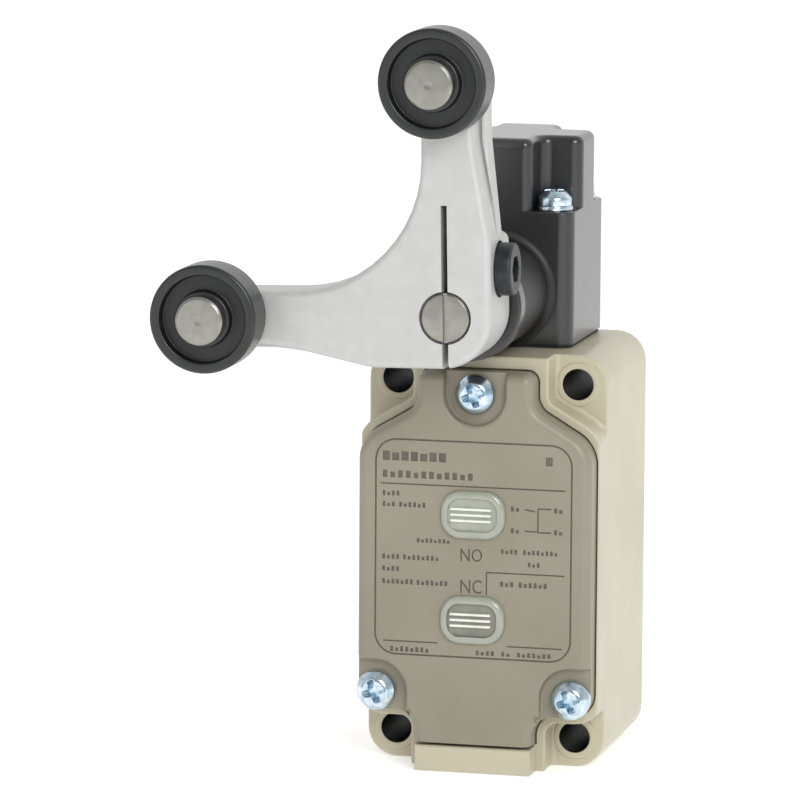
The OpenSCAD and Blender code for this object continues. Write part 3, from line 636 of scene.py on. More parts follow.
def shankPlaces(node):
    # the middles of the separate screws of one node, seen from the front
    found = []
    for vert in frame["nodes"][node].data.vertices:
        spot = Vector((vert.co.x, vert.co.z))
        near = next((g for g in found if (g[0] - spot).length < screws["apart"]), None)
        if near is None:
            found.append([spot, spot.copy(), spot.copy()])  # first point, lowest, highest
        else:
            near[1] = Vector(map(min, near[1], spot))
            near[2] = Vector(map(max, near[2], spot))
    return [((g[1].x + g[2].x) / 2, (g[1].y + g[2].y) / 2) for g in found]


def conduitThread(top):
    # the bore with its thread's grooves, as one turned cutter
    radius = conduit["dims"]["r_mm"] * mm
    x, y, _ = conduit["pos_m"]
    low = bodyLow.z - past
    profile = [(0, low, 0), (radius + 1 * mm, low, 0), (radius + 0.9 * mm, bodyLow.z, 0)]
    pitch = body["threadPitch"]
    height = bodyLow.z + 0.8 * mm
    while height + pitch < top - 0.4 * mm:
        profile += [(radius, height, 0), (radius + body["grooveDepth"], height + pitch / 2, 0)]
        height += pitch
    profile += [(radius, height, 0), (radius, top + past, 0), (0, top + past, 0)]
    return turned("conduit", profile, (x, y, 0), alongZ, 64)


makeBody()
print("body made")

# Marks in millimetres: rows of short blocks stand where a rating plate has its printing.
rows = [  # left, height of the middle, blocks, block width, gap, block height
    (-15.2, 17.9, 7, 1.15, 0.42, 1.5),
    (-15.2, 14.9, 12, 0.75, 0.55, 1.15),
    (-15.2, 11.7, 4, 0.45, 0.33, 0.8),
    (-15.2, 9.9, 3, 0.45, 0.33, 0.8),
    (-12.4, 9.9, 6, 0.45, 0.33, 0.8),
    (-9.4, 4.1, 8, 0.42, 0.3, 0.7),
    (-15.2, 1.2, 4, 0.45, 0.33, 0.8),
    (-11.7, 1.2, 8, 0.45, 0.33, 0.8),
    (-15.2, -0.8, 4, 0.45, 0.33, 0.8),
    (-15.2, -2.9, 7, 0.45, 0.33, 0.8),
    (-9.4, -2.9, 7, 0.45, 0.33, 0.8),
    (4.7, 2.9, 4, 0.42, 0.33, 0.75),
    (8.4, 2.9, 8, 0.42, 0.33, 0.75),
    (9.2, 0.9, 3, 0.42, 0.33, 0.75),
    (4.6, -2.5, 3, 0.5, 0.33, 0.85),
    (7.7, -2.5, 6, 0.5, 0.33, 0.85),
    (-13.8, -14.1, 8, 0.5, 0.35, 0.85),
    (0.6, -14.1, 4, 0.5, 0.35, 0.75),
    (4.9, -14.1, 2, 0.5, 0.35, 0.75),
    (7.5, -14.1, 7, 0.5, 0.35, 0.75),
    (6.3, 10.0, 2, 0.5, 0.35, 0.8),
    (13.5, 10.0, 2, 0.5, 0.35, 0.8),
    (6.3, 6.4, 2, 0.5, 0.35, 0.8),
    (13.5, 6.4, 2, 0.5, 0.35, 0.8),
]
rules = [  # from and to, each (across, up)
    ((-15.5, 13.3), (15.3, 13.3)),
    ((2.3, -0.7), (15.3, -0.7)),
    ((2.3, -0.7), (2.3, -4.4)),
    ((-15.0, -12.8), (-5.9, -12.8)),
    ((5.8, -12.8), (15.0, -12.8)),
    ((8.6, 10.0), (10.3, 9.7)),
    ((10.8, 10.2), (10.8, 6.3)),
    ((10.8, 10.2), (13.0, 10.2)),
    ((8.6, 6.4), (10.6, 6.4)),
    ((10.8, 6.3), (13.0, 6.3)),
]
letters = [("NO", -0.3, 1.9, 3.0), ("NC", -0.3, -3.3, 3.2)]  # text, across, up, size


def engravedMarks():
    front = coverLow.y
    depth = cover["engravingDepth"]
    deselectAll()
    bpy.ops.mesh.primitive_cube_add(size=1, location=(12.6 * mm, front, 18.0 * mm),
                                    scale=(1.1 * mm, 2 * depth, 1.4 * mm))
    marks = bpy.context.object
    marks.name = "marks"
    placeHere(marks)
    bpy.ops.object.mode_set(mode="EDIT")
    for left, height, count, width, gap, tall in rows:
        for i in range(count):
            x = left + width / 2 + i * (width + gap)
            drop = 0.12 if i % 3 == 1 else 0  # blocks of two heights, like printing
            bpy.ops.mesh.primitive_cube_add(size=1, location=(x * mm, front, (height - drop) * mm),
                                            scale=(width * mm, 2 * depth, (tall - 2 * drop) * mm))
    objectMode()
    for start, end in rules:
        along = Vector(end) - Vector(start)
        middleX, middleZ = (Vector(start) + Vector(end)) / 2
        deselectAll()
        bpy.ops.mesh.primitive_cube_add(size=1, location=(middleX * mm, front, middleZ * mm),
                                        rotation=(0, -math.atan2(along.y, along.x), 0),
                                        scale=(along.length * mm, 2 * depth, cover["lineWidth"] * 0.8))
        rule = bpy.context.object
        placeHere(rule)
        add(marks, rule)
    for text, x, z, size in letters:
        deselectAll()
        bpy.ops.object.text_add(location=(x * mm, front, z * mm), rotation=(math.pi / 2, 0, 0))
        letter = bpy.context.object
        letter.data.body = text
        letter.data.size = size * mm
        letter.data.extrude = depth
        letter.data.align_x, letter.data.align_y = "CENTER", "CENTER"
        letter.data.resolution_u = 3
        bpy.ops.object.convert(target="MESH")
        letter.scale.x = 0.82
        placeHere(letter)
        editAll(letter)
        bpy.ops.mesh.remove_doubles(threshold=0.001 * mm)
        bpy.ops.mesh.normals_make_consistent(inside=False)
        objectMode()
        marks = joinPieces("marks", [marks, letter])
    plate = grown(rounded(*cover["frame"]), 0)
    line = slab("line", plate, front + depth, front - depth, cover["frameCentre"])
    inside = slab("lineInside", grown(plate, -cover["lineWidth"]), front + 2 * depth, front - 2 * depth,
                  cover["frameCentre"])
    cut(line, inside)
    marks = joinPieces("marks", [marks, line])
    marks.data.materials.clear()
    marks.data.materials.append(finishes["engraving"])
    return marks


def onPocketWall(co):
    # is a point on the wall of one of the three screw pockets
    r = cover["pocketRadius"]
    x, z = abs(co.x), co.z - cover["topScrew"]
    top = abs((math.hypot(x, z) if z < 0 else x) - r) < 0.03 * mm and z > -r - 0.1 * mm
    across, up = cover["lowScrew"][0] - x, co.z - cover["lowScrew"][1]
    away = math.hypot(across, up) if across > 0 and up > 0 else max(across, up)
    return top or (abs(away - r) < 0.03 * mm and co.z < 0)


def makeCover():
    front, back = coverLow.y, coverHigh.y
    # drawn too long and cut off level at the bottom, where the front edge isn't rounded
    longer = [c if c[1] > coverLow.z + 1 * mm else (c[0], c[1] - 4 * mm, 0) for c in coverRight]
    piece = slab("frontCover", mirrored(longer), back, front)
    piece.data.materials.append(finishes["cover_enamel"])
    roundEdges(piece, inPlane(1, front), cover["crown"], 6)
    editMode(piece, "FACE")
    bpy.ops.mesh.select_all(action="SELECT")
    bpy.ops.mesh.bisect(plane_co=(0, 0, coverLow.z), plane_no=(0, 0, 1), use_fill=True, clear_inner=True)
    objectMode()

    r = cover["pocketRadius"]
    floor = cover["pocketFloor"]
    topPocket = mirrored([(r, 10 * mm, 0), (r, -r, r - hair)])
    cut(piece, slab("pocket", topPocket, floor, front - past, (0, cover["topScrew"]), 12))
    x, z = cover["lowScrew"]
    for side in (-1, 1):
        corners = [(side * (x - r), z + r, r), (side * (x + 9 * mm), z + r, 0),
                   (side * (x + 9 * mm), z - 12 * mm, 0), (side * (x - r), z - 12 * mm, 0)]
        cut(piece, slab("pocket", corners, floor, front - past, steps=12))
    lampLow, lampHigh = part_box("lamp_holder")
    room = rounded(lampHigh.x - lampLow.x + 1.6 * mm, lampHigh.z - lampLow.z + 2 * mm, 2 * mm)
    cut(piece, slab("lampRoom", room, back + past, front + cover["wall"]))
    for node in ("lens_upper", "lens_lower"):
        cut(piece, slab("window", windowCorners(slip), back + past, front - past, (0, middle(node).z)))
    for x, z in screwPlaces:
        cut(piece, rod("screwHole", (x, back + past, z), (x, front - past, z), cover["screwHole"], 32))
    cut(piece, engravedMarks())

    pocketEdge = lambda edge: all(onPocketWall(v.co) and v.co.y < floor - 0.1 * mm for v in edge.verts)
    roundEdges(piece, lambda edge: edge.is_convex and pocketEdge(edge), cover["pocketRound"])
    floorEdge = lambda edge: inPlane(1, floor)(edge) and not edge.is_convex
    roundEdges(piece, floorEdge, cover["floorRound"], 3)
    softEdges(piece)
    return finished(piece, "housing", "cover_enamel", "front_cover")


lens = {
    "width": 10.8 * mm,
    "height": 8 * mm,
    "corner": 3.36 * mm,
    "round": 0.8 * mm,
    "recess": 0.55 * mm,
    "rim": 1.25 * mm,
    "flange": 0.8 * mm,
    "flangeThick": 1 * mm,
    "ribs": 3,
    "ribHeight": 0.42 * mm,
    "ribPitch": 0.95 * mm,
    "ribLength": 6.8 * mm,
    "ribDown": 0.12 * mm,
}


def windowCorners(amount):
    return grown(rounded(lens["width"], lens["height"], lens["corner"]), amount)


def makeLens(name, node, recessPaintedShade):
    low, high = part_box(node)
    centre = (0, (low.z + high.z) / 2)
    piece = slab(name, windowCorners(0), high.y - lens["flangeThick"], low.y, centre)
    roundEdges(piece, inPlane(1, low.y), lens["round"])
    recess = slab("recess", windowCorners(-lens["rim"]), low.y + lens["recess"], low.y - past, centre)
    roundEdges(recess, inPlane(1, low.y + lens["recess"]), 0.3 * mm, 3)
    piece.data.materials.append(finishes["window_plastic"])
    # the recess floor gets a darker finish, painted shade
    recess.data.materials.append(finishes[recessPaintedShade])
    cut(piece, recess)
    for i in range(lens["ribs"]):
        z = centre[1] + (i - (lens["ribs"] - 1) / 2) * lens["ribPitch"]
        rib = slab("rib", rounded(lens["ribLength"], lens["ribHeight"], 0.15 * mm),
                   low.y + lens["recess"] + 0.2 * mm, low.y + lens["ribDown"], (-0.3 * mm, z), 3)
        roundEdges(rib, inPlane(1, low.y + lens["ribDown"]), 0.1 * mm, 2)
        # the ribs get a whiter finish, painted highlight
        rib.data.materials.append(finishes["window_rib_painted_highlight"])
        add(piece, rib)
    add(piece, slab("flange", windowCorners(lens["flange"]), high.y, high.y - lens["flangeThick"], centre))
    softEdges(piece, 0.05 * mm)
    return finished(piece, "housing", "window_plastic", node)


makeCover()
print("cover made")
makeLens("upperLens", "lens_upper", "window_recess_painted_shade")
makeLens("lowerLens", "lens_lower", "window_recess_painted_deep_shade")
print("lenses made")


def crossCutter(name, reach, wing, depth, top):
    # a star with four wings, drawn level and narrowed downwards
    corners = []
    for i in range(4):
        c, s = math.cos(i * math.pi / 2), math.sin(i * math.pi / 2)
        for u, v, r in ((wing * 1.15, -wing * 1.15, wing * 0.25), (reach, -wing, wing * 0.4),
                        (reach, wing, wing * 0.4)):
            corners.append((u * c - v * s, u * s + v * c, r))
    piece = outline(name, corners, levelPlane(top), 3)
    thicken(piece, Vector((0, 0, -depth)))
    editMode(piece, "VERT")
    selectVerts(piece, lambda co: abs(co.z - (top - depth)) < hair)
    bpy.ops.transform.resize(value=(0.55, 0.55, 1), center_override=(0, 0, top))
    objectMode()
    return piece


def panHead(name, radius, height, shank, length):
    # upright at the origin, its seat at height 0; lathed, with the cross cut into its crown
    piece = turned(name, [(0, height, 0), (radius * 0.62, height, 0.9 * mm),
                          (radius, height * 0.52, 0.7 * mm), (radius, 0, 0.15 * mm),
                          (shank, 0, 0), (shank, -length + shank * 0.5, 0),
                          (shank * 0.5, -length, 0), (0, -length, 0)], (0, 0, 0), alongZ, 64, 5)
    reach = radius * screws["crossReach"]
    depth = height * screws["crossDepth"]
    cut(piece, crossCutter("cross", reach, reach * screws["crossWing"], depth, height + 0.02 * mm))
    return piece


def stand(piece, place, toFront=False):
    # turns a screw about its own axis, lays it to the front if asked, and puts it in place
    useOnly(piece)
    turn = Matrix.Rotation(math.radians(screws["turn"]), 4, "Z")
    lay = Matrix.Rotation(math.radians(90), 4, "X") if toFront else Matrix.Identity(4)
    piece.matrix_world = Matrix.Translation(place) @ lay @ turn
    placeHere(piece)
    return piece


def makeScrews():
    low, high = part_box("cover_screws")
    floor = cover["pocketFloor"]
    first = panHead("screw", screws["coverHead"], floor - low.y, screws["coverShank"], high.y - floor)
    softEdges(first, 0.06 * mm)
    places = [Vector((x, floor, z)) for x, z in screwPlaces]
    copies = [stand(copyOf(first, "coverScrew%d" % i), place, True) for i, place in enumerate(places)]
    bpy.data.objects.remove(first)
    finished(joinPieces("coverScrews", copies), "housing", "zinc_plate", "cover_screws")

    low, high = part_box("head_screws")
    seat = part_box("head_washers")[1].z
    first = panHead("screw", screws["headHead"], high.z - seat, screws["headShank"], seat - low.z)
    softEdges(first, 0.06 * mm)
    copies = [stand(copyOf(first, "headScrew%d" % i), Vector((x, y, seat)))
              for i, (x, y) in enumerate(headScrewPlaces())]
    bpy.data.objects.remove(first)
    finished(joinPieces("headScrews", copies), "housing", "zinc_plate", "head_screws")

    low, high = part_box("head_washers")
    washers = []
    outer, inner, gap = screws["washerRadius"], screws["washerHole"], screws["washerGap"] / 2
    for i, (x, y) in enumerate(headScrewPlaces()):
        ring = turned("headWasher%d" % i, [(inner, low.z, 0), (outer, low.z, 0.15 * mm),
                                           (outer, high.z, 0.15 * mm), (inner, high.z, 0)],
                      (x, y, 0), alongZ, 48, 3)
        cut(ring, block("gap", (x - 3.4 * mm, y - gap, low.z - past), (x - 1 * mm, y + gap, high.z + past)))
        washers.append(softEdges(ring))
    finished(joinPieces("lockWashers", washers), "housing", "zinc_plate", "head_washers")


makeScrews()
print("screws made")

head = {
    "seat": 56.75 * mm,
    "armHalf": 5.6 * mm,
    "baseCorner": 2.5 * mm,
    "armCorner": 1.8 * mm,
    "notchCorner": 2.0 * mm,
    "topRound": 1.3 * mm,
    "seatRound": 0.35 * mm,
    "chamberHalf": 9.8 * mm,
    "pillarHalf": 5.3 * mm,
    "topWall": 2.8 * mm,
    "bossRadius": 8.7 * mm,
    "bossLength": 18 * mm,
    "bossFlare": 1.3 * mm,
    "ledgeDown": 1.7 * mm,
    "ledgeDepth": 0.3 * mm,
    "chamberFront": 2.55 * mm,
    "drumRoom": 0.3 * mm,
    "screwHole": 1.9 * mm,
}
shaftLow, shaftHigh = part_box("operating_shaft")
shaft = Vector(((shaftLow.x + shaftHigh.x) / 2, 0, (shaftLow.z + shaftHigh.z) / 2))
shaftRadius = (shaftHigh.x - shaftLow.x) / 2


def makeHead():
    width = headHigh.x - headLow.x
    back = headHigh.y
    front = back - width
    centre = (0, (front + back) / 2)
    arm, half = head["armHalf"], width / 2
    base = rounded(width, width, head["baseCorner"])
    piece = column("headHousing", base, headLow.z, head["seat"], centre)
    piece.data.materials.append(finishes["charcoal_enamel"])
    end, notch = head["armCorner"], head["notchCorner"]
    armRight = [(arm, half, end), (arm, arm, notch), (half, arm, end),
                (half, -arm, end), (arm, -arm, notch), (arm, -half, end)]
    cross = column("cross", mirrored(armRight), head["seat"] - past, headHigh.z, centre)
    roundEdges(cross, inPlane(2, headHigh.z), head["topRound"], 5)
    add(piece, cross)
    mergeFlats(piece)
    roundEdges(piece, lambda edge: edge.is_convex and inPlane(2, head["seat"])(edge), head["seatRound"], 3)
    end = front - head["bossLength"]
    radius, flare = head["bossRadius"], head["bossFlare"]
    boss = turned("boss", [(0, front + 2 * mm, 0), (radius + flare, front + 2 * mm, 0),
                           (radius + flare, front - 0.15 * mm, 0), (radius, front - 0.15 * mm, flare),
                           (radius, end, 0.5 * mm), (0, end, 0)], shaft, alongY, 96, 6)
    boss.data.materials.append(finishes["boss_enamel"])
    add(piece, boss)
    cut(piece, block("ledge", (-arm - past, front - past, headHigh.z - head["ledgeDown"]),
                     (arm - 1.3 * mm, front + head["ledgeDepth"], headHigh.z + past)))

    chamber, pillar = head["chamberHalf"], head["pillarHalf"]
    low, high = headLow.z - past, headHigh.z - head["topWall"]
    middleY = centre[1]
    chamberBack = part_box("rear_bush")[0].y
    chamberFront = middleY - (chamberBack - middleY) - head["chamberFront"]
    room = block("room", (-chamber, middleY - pillar, low), (chamber, middleY + pillar, high))
    add(room, block("room", (-pillar, chamberFront, low), (pillar, chamberBack, high)))
    cut(piece, room)
    bushLow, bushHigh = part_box("front_bush")
    bore = (bushHigh.x - bushLow.x) / 2 + slip
    cut(piece, rod("bore", (0, front + 5 * mm, shaft.z), (0, end - past, shaft.z), bore, 72))
    rearLow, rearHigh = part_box("rear_bush")
    cut(piece, rod("bore", (0, rearHigh.y, shaft.z), (0, chamberBack - past, shaft.z),
                   (rearHigh.x - rearLow.x) / 2 + slip, 72))
    drumLow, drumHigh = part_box("detent_drum")
    cut(piece, rod("drumRoom", (0, drumHigh.y + 0.4 * mm, shaft.z), (0, chamberFront, shaft.z),
                   (drumHigh.x - drumLow.x) / 2 + head["drumRoom"], 72))
    for x, y in headScrewPlaces():
        cut(piece, rod("screwHole", (x, y, low), (x, y, head["seat"] + past), head["screwHole"], 32))
    softEdges(piece)
    return finished(piece, "housing", "charcoal_enamel", "head_housing")


makeHead()
print("head made")

# The lever, rollers, bolt and shaft are drawn upright about the shaft and then leaned.
topMiddle = middle("roller_top")
reach = math.hypot(topMiddle.x - shaft.x, topMiddle.z - shaft.z)
lean = math.atan2(topMiddle.x - shaft.x, topMiddle.z - shaft.z)
leverLow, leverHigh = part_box("fork_lever")
hub = (shaft.x, shaft.z)
lever = {
    "padBack": 5 * mm,
    "webBack": 9 * mm,
    "frontRound": 1.1 * mm,
    "rearRound": 0.5 * mm,
    "groove": 0.4 * mm,
    "tip": reach + 5.3 * mm,
    "inner": 3.6 * mm,
    "padOut": 4.8 * mm,
    "webOut": 6 * mm,
    "throat": 21.3 * mm,
    "waist": reach * 0.74,
    "neck": 13 * mm,
    "hubRight": 7.4 * mm,
    "hubLow": -8.25 * mm,
    "hubRound": 8.2 * mm,
    "bossInset": 0.05 * mm,  # keeps the boss's walls off the web's
    "bossUp": 12.6 * mm,
    "bossLeft": -9.8 * mm,
    "slitHalf": 0.5 * mm,
    "slitLow": -14 * mm,
    "slitTop": 18 * mm,
    "ringGap": 0.24 * mm,
}


def leaned(piece):
    return turnCopy(piece, lean, "Y", shaft)


def leverCorners(out, neck):
    # both arms and the hub, the left arm a mirror image of the upper one but for the hub
    tip, inner, waist = lever["tip"], lever["inner"], lever["waist"]
    tipOut, tipIn = out * 0.87, inner * 0.94
    return [(out, tip, tipOut), (out, waist, 20 * mm), (neck, lever["neck"], 8 * mm),
            (neck, lever["hubLow"], lever["hubRound"]), (-12.4 * mm, lever["hubLow"], 10 * mm),
            (-waist, -out, 20 * mm), (-tip, -out, tipOut), (-tip, inner, tipIn),
            (-inner - 0.4 * mm, inner + 0.4 * mm, lever["throat"]), (-inner, tip, tipIn)]


def makeLever():
    front, back = leverLow.y, leverHigh.y
    padBack, webBack = front + lever["padBack"], front + lever["webBack"]
    padCorners = leverCorners(lever["padOut"], lever["hubRight"])
    piece = slab("forkLever", padCorners, webBack - 0.75 * mm, front, hub, 12)
    piece.data.materials.append(finishes["cast_alloy"])
    roundEdges(piece, inPlane(1, front), lever["frontRound"], 5)
    web = slab("web", leverCorners(lever["webOut"], lever["hubRight"]), webBack, padBack, hub, 12)
    for face in (padBack, webBack):
        roundEdges(web, inPlane(1, face), lever["rearRound"], 3)
    add(piece, web)
    right, lowest = lever["hubRight"] - lever["bossInset"], lever["hubLow"] + lever["bossInset"]
    left, up = lever["bossLeft"], lever["bossUp"]
    bossCorners = [(right, up, 1.5 * mm), (right, lowest, lever["hubRound"] - lever["bossInset"]),
                   (-1.6 * mm, lowest, 4 * mm), (left, -7 * mm, 2 * mm),
                   (left, 8 * mm, 1.5 * mm), (-6.5 * mm, up, 1.5 * mm)]
    boss = slab("boss", bossCorners, back, webBack - past, hub, 12)
    roundEdges(boss, inPlane(1, back), lever["rearRound"], 3)
    add(piece, boss)
    mergeFlats(piece)

    wide, close = shaftRadius + lever["ringGap"], shaftRadius + slip
    cut(piece, turned("bore", [(0, front - past, 0), (wide, front - past, 0), (wide, front + 0.7 * mm, 0),
                               (close, front + 1 * mm, 0), (close, back + past, 0), (0, back + past, 0)],
                      shaft, alongY, 96))
    cut(piece, block("slit", (-lever["slitHalf"], front - past, shaft.z + lever["slitLow"]),
                     (lever["slitHalf"], back + past, shaft.z + lever["slitTop"])))
    place = Vector((0, boltAxis[0], boltAxis[1]))
    seat, radius = bolt["seat"], bolt["radius"]
    for start, stop, r in ((seat, 20 * mm, bolt["headRadius"] + 0.3 * mm),
                           (0, seat + past, radius + 0.2 * mm),
                           (bolt["tip"] - 0.5 * mm, past, radius + slip)):
        cut(piece, rod("boltRoom", place + Vector((start, 0, 0)), place + Vector((stop, 0, 0)), r, 64))
    for x, z in ((0, reach), (-reach, 0)):
        cut(piece, rod("pinHole", (x, back, shaft.z + z), (x, front - past, shaft.z + z),
                       pin["radius"] + slip))
    # a shallow groove follows the pad's outer edge along both arms
    edge = lever["padOut"]
    line = [(edge, reach + 3 * mm), (edge, lever["waist"]), (lever["hubRight"] - 0.1 * mm, lever["neck"])]
    inner = [(x - 0.2 * mm, z, 0) for x, z in line]
    outer = [(x + lever["groove"], z, 0) for x, z in reversed(line)]
    for corners in (inner + outer, [(-z, -x, 0) for x, z, r in inner + outer]):
        cut(piece, slab("groove", corners, padBack + lever["groove"], padBack - 0.03 * mm, hub))
    leaned(piece)
    softEdges(piece, 0.08 * mm)
    return finished(piece, "lever", "cast_alloy", "fork_lever")


bolt = {
    "seat": 5 * mm,
    "head": 5 * mm,
    "headRadius": 4.25 * mm,
    "radius": 2.5 * mm,
    "tip": -7.5 * mm,
    "up": 7.2 * mm,
    "socket": 4 * mm,
    "socketDepth": 2.5 * mm,
}
boltAxis = (middle("clamp_bolt").y, shaft.z + bolt["up"])
pin = {"radius": 2.5 * mm, "headRadius": 3.9 * mm, "head": 2 * mm, "chamfer": 0.42 * mm, "dimple": 0.7 * mm}
wheel = {
    "radius": 8.75 * mm,
    "rim": 1.7 * mm,
    "ring": 4.5 * mm,
    "bore": 2.55 * mm,
    "recess": 1.8 * mm,
    "round": 0.55 * mm,
}
spindle = {"chamfer": 0.32 * mm, "slotHalf": 0.33 * mm, "slotDepth": 0.55 * mm}
collar = {"rearRound": 0.3 * mm, "frontRound": 0.5 * mm, "notchHalf": 0.8 * mm, "notchDepth": 0.6 * mm}


def makeBolt():
    end = bolt["seat"] + bolt["head"]
    head, shank = bolt["headRadius"], bolt["radius"]
    piece = turned("clampBolt", [(0, end, 0), (head, end, 0.45 * mm), (head, bolt["seat"], 0.15 * mm),
                                 (shank, bolt["seat"], 0), (shank, bolt["tip"] + 0.4 * mm, 0),
                                 (shank - 0.4 * mm, bolt["tip"], 0), (0, bolt["tip"], 0)],
                   (0, *boltAxis), (1, 0, 0), 72, 4)
    piece.data.materials.append(finishes["black_steel"])
    corner = bolt["socket"] / 2 / math.cos(math.pi / 6)
    turns = [math.radians(60 * i) for i in range(6)]
    hexagon = outline("socket", [(corner * math.cos(t), corner * math.sin(t), 0) for t in turns],
                      sidePlane(end + 0.5 * mm, boltAxis))
    cut(piece, thicken(hexagon, Vector((-bolt["socketDepth"] - 0.5 * mm, 0, 0))))
    leaned(piece)
    softEdges(piece, 0.07 * mm)
    return finished(piece, "lever", "black_steel", "clamp_bolt")


def makeRollers():
    low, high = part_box("roller_top")
    front, back = low.y, high.y
    outer, deep = wheel["radius"], front + wheel["recess"]
    inner = outer - wheel["rim"]
    centre = shaft + Vector((0, 0, reach))
    ring, bore, edge = wheel["ring"], wheel["bore"], wheel["round"]
    top = turned("topRoller", [(bore, back, 0), (outer, back, edge), (outer, front, edge),
                               (inner, front, 0.3 * mm), (inner, deep, 0.3 * mm), (ring, deep, 0.3 * mm),
                               (ring, front, 0.3 * mm), (bore, front, 0)], centre, alongY, 96, 5)
    top.data.materials.append(finishes["roller_plastic"])
    top.data.materials.append(finishes["roller_recess_painted_shade"])
    # the darker recess finish is painted shade, darkening the recess as if shadowed
    for face in top.data.polygons:  # the recess between the rim and the hub has the darker finish
        across = math.hypot(face.center.x - centre.x, face.center.z - centre.z)
        face.material_index = int(ring - 0.1 * mm < across < inner + 0.1 * mm
                                  and front + 0.25 * mm < face.center.y < deep + 0.1 * mm)
    left = copyOf(top, "leftRoller", (-reach, 0, -reach))
    for piece, body, node in ((top, "top_roller", "roller_top"), (left, "left_roller", "roller_left")):
        softEdges(leaned(piece))
        finished(piece, body, "roller_plastic", node)

    low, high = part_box("roller_pins")
    front, back = low.y, high.y
    radius, edge, hole = pin["headRadius"], pin["chamfer"], pin["dimple"]
    first = turned("pin", [(0, front + 0.12 * mm, 0), (hole, front, 0.5 * mm),
                           (radius - edge, front, 0.12 * mm), (radius, front + edge * 0.8, 0.12 * mm),
                           (radius, front + pin["head"], 0.1 * mm),
                           (pin["radius"], front + pin["head"], 0), (pin["radius"], back - 0.4 * mm, 0),
                           (pin["radius"] - 0.4 * mm, back, 0), (0, back, 0)],
                   shaft + Vector((0, 0, reach)), alongY, 72, 4)
    second = copyOf(first, "pin", (-reach, 0, -reach))
    pins = softEdges(leaned(joinPieces("rollerPins", [first, second])))
    finished(pins, "lever", "plain_steel", "roller_pins")


def makeShaft():
    front, back = shaftLow.y, shaftHigh.y
    r, edge = shaftRadius, spindle["chamfer"]
    piece = turned("operatingShaft", [(0, front, 0), (r - edge, front, 0.1 * mm), (r, front + edge, 0.1 * mm),
                                      (r, back - edge, 0), (r - edge, back, 0), (0, back, 0)],
                   shaft, alongY, 96, 3)
    piece.data.materials.append(finishes["plain_steel"])
    cut(piece, block("slot", (-spindle["slotHalf"], front - past, shaft.z - r - past),
                     (spindle["slotHalf"], front + spindle["slotDepth"], shaft.z + r + past)))
    leaned(piece)
    softEdges(piece, 0.04 * mm)
    return finished(piece, "lever", "plain_steel", "operating_shaft")


def makeCollar():
    low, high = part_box("position_collar")
    front, back = low.y, high.y
    radius = (high.x - low.x) / 2
    inner = shaftRadius + slip
    piece = turned("positionCollar", [(inner, back, 0), (radius, back, collar["rearRound"]),
                                      (radius, front, collar["frontRound"]), (inner, front, 0)],
                   shaft, alongY, 96, 4)
    piece.data.materials.append(finishes["charcoal_enamel"])
    cut(piece, block("notch", (-collar["notchHalf"], front - past, shaft.z + radius - collar["notchDepth"]),
                     (collar["notchHalf"], back + past, shaft.z + radius + past)))
    leaned(piece)
    softEdges(piece, 0.06 * mm)
    return finished(piece, "lever", "charcoal_enamel", "position_collar")


makeCollar()
makeShaft()
makeLever()
makeBolt()
makeRollers()
print("lever made")

view = {
    "azimuth": 14,
    "elevation": 8.65,
    "roll": 0.35,
    "distance": 1.0,
    "target": Vector((-14.89, -31, 25.52)) * mm,
    "lens": 273.6,
}
studio = {
    "keyPlace": (0.45, -0.75, 0.5),
    "keySize": 0.45,
    "keyPower": 5.5,
    "fillPlace": (-0.5, -0.7, 0.25),
    "fillSize": 0.6,
    "fillPower": 0.8,
    "ahead": 0.34,
    "behind": 1.05,
    "floorGlow": 0.38,
}


def makeFloor():
    deselectAll()
    bpy.ops.mesh.primitive_plane_add(size=8, location=(0, 0, cadBox[0].z - 0.1 * mm))
    floor = bpy.context.object
    floor.name = "floor"
    paper = bpy.data.materials.new("paper")
    paper.use_nodes = True
    nodes, links = paper.node_tree.nodes, paper.node_tree.links
    shader = nodes["Principled BSDF"]
    shader.inputs["Roughness"].default_value = 0.8
    shader.inputs["Emission Color"].default_value = (1, 1, 1, 1)
    shader.inputs["Emission Strength"].default_value = studio["floorGlow"]
    place = nodes.new("ShaderNodeTexCoord")
    fibre = nodes.new("ShaderNodeTexNoise")
    fibre.inputs["Scale"].default_value = 40
    links.new(place.outputs["Object"], fibre.inputs["Vector"])
    tone = nodes.new("ShaderNodeMixRGB")
    tone.inputs["Color1"].default_value = (0.93, 0.93, 0.93, 1)
    tone.inputs["Color2"].default_value = (0.91, 0.91, 0.91, 1)
    links.new(fibre.outputs["Fac"], tone.inputs["Fac"])
    links.new(tone.outputs["Color"], shader.inputs["Base Color"])
    floor.data.materials.append(paper)


def softLight(name, place, size, power):
    lamp = bpy.data.lights.new(name, "AREA")
    lamp.shape = "SQUARE"
    lamp.size = size
    lamp.energy = power
    holder = bpy.data.objects.new(name, lamp)
    bpy.context.scene.collection.objects.link(holder)
    holder.location = place
    holder.rotation_euler = (view["target"] - Vector(place)).to_track_quat("-Z", "Y").to_euler()
    holder.visible_camera = False


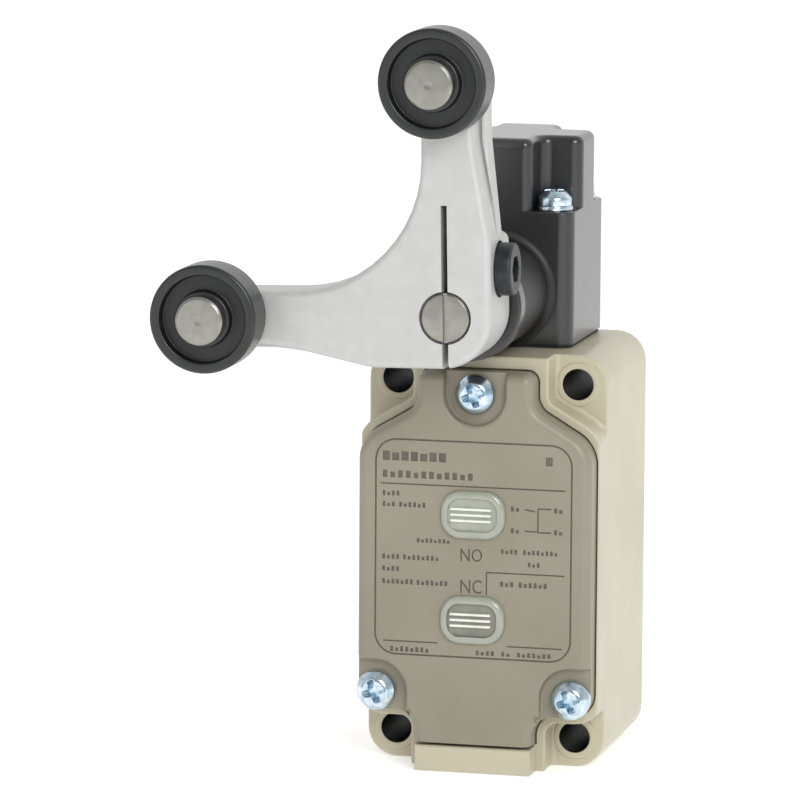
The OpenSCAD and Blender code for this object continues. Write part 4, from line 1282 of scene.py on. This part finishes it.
def makeLight():
    world = bpy.data.worlds.new("studio")
    bpy.context.scene.world = world
    world.use_nodes = True
    nodes, links = world.node_tree.nodes, world.node_tree.links
    place = nodes.new("ShaderNodeTexCoord")
    split = nodes.new("ShaderNodeSeparateXYZ")
    links.new(place.outputs["Generated"], split.inputs["Vector"])
    strength = nodes.new("ShaderNodeMapRange")  # darker in front of the object than behind it
    strength.inputs["From Min"].default_value = -0.7
    strength.inputs["From Max"].default_value = 0.7
    strength.inputs["To Min"].default_value = studio["ahead"]
    strength.inputs["To Max"].default_value = studio["behind"]
    links.new(split.outputs["Y"], strength.inputs["Value"])
    path = nodes.new("ShaderNodeLightPath")
    seen = nodes.new("ShaderNodeMath")  # the background itself is white from every side
    seen.operation = "MAXIMUM"
    links.new(strength.outputs["Result"], seen.inputs[0])
    links.new(path.outputs["Is Camera Ray"], seen.inputs[1])
    links.new(seen.outputs["Value"], nodes["Background"].inputs["Strength"])
    nodes["Background"].inputs["Color"].default_value = (1, 1, 1, 1)
    for name in ("key", "fill"):
        softLight(name + "Light", studio[name + "Place"], studio[name + "Size"], studio[name + "Power"])


def makeCamera():
    azimuth, elevation, roll = (math.radians(view[k]) for k in ("azimuth", "elevation", "roll"))
    back = Vector((math.sin(azimuth) * math.cos(elevation), -math.cos(azimuth) * math.cos(elevation),
                   math.sin(elevation)))
    lens = bpy.data.cameras.new("camera")
    lens.lens = view["lens"]
    lens.sensor_width = 36
    lens.clip_start, lens.clip_end = 0.05, 20
    holder = bpy.data.objects.new("camera", lens)
    bpy.context.scene.collection.objects.link(holder)
    holder.location = view["target"] + back * view["distance"]
    upright = (-back).to_track_quat("-Z", "Y").to_matrix().to_4x4()
    holder.rotation_euler = (upright @ Matrix.Rotation(roll, 4, "Z")).to_euler()
    bpy.context.scene.camera = holder


makeFloor()
makeLight()
makeCamera()
bpy.context.scene.view_settings.view_transform = "Standard"
print("stage set")

# the remaining nodes keep their own shape and only get a finish
for part in record["subparts"]:
    node = frame["nodes"][part["node"]]
    if not node.hide_render:
        node.data.materials.clear()
        node.data.materials.append(finishes[part["material_slot"]])
print("inner pieces painted")
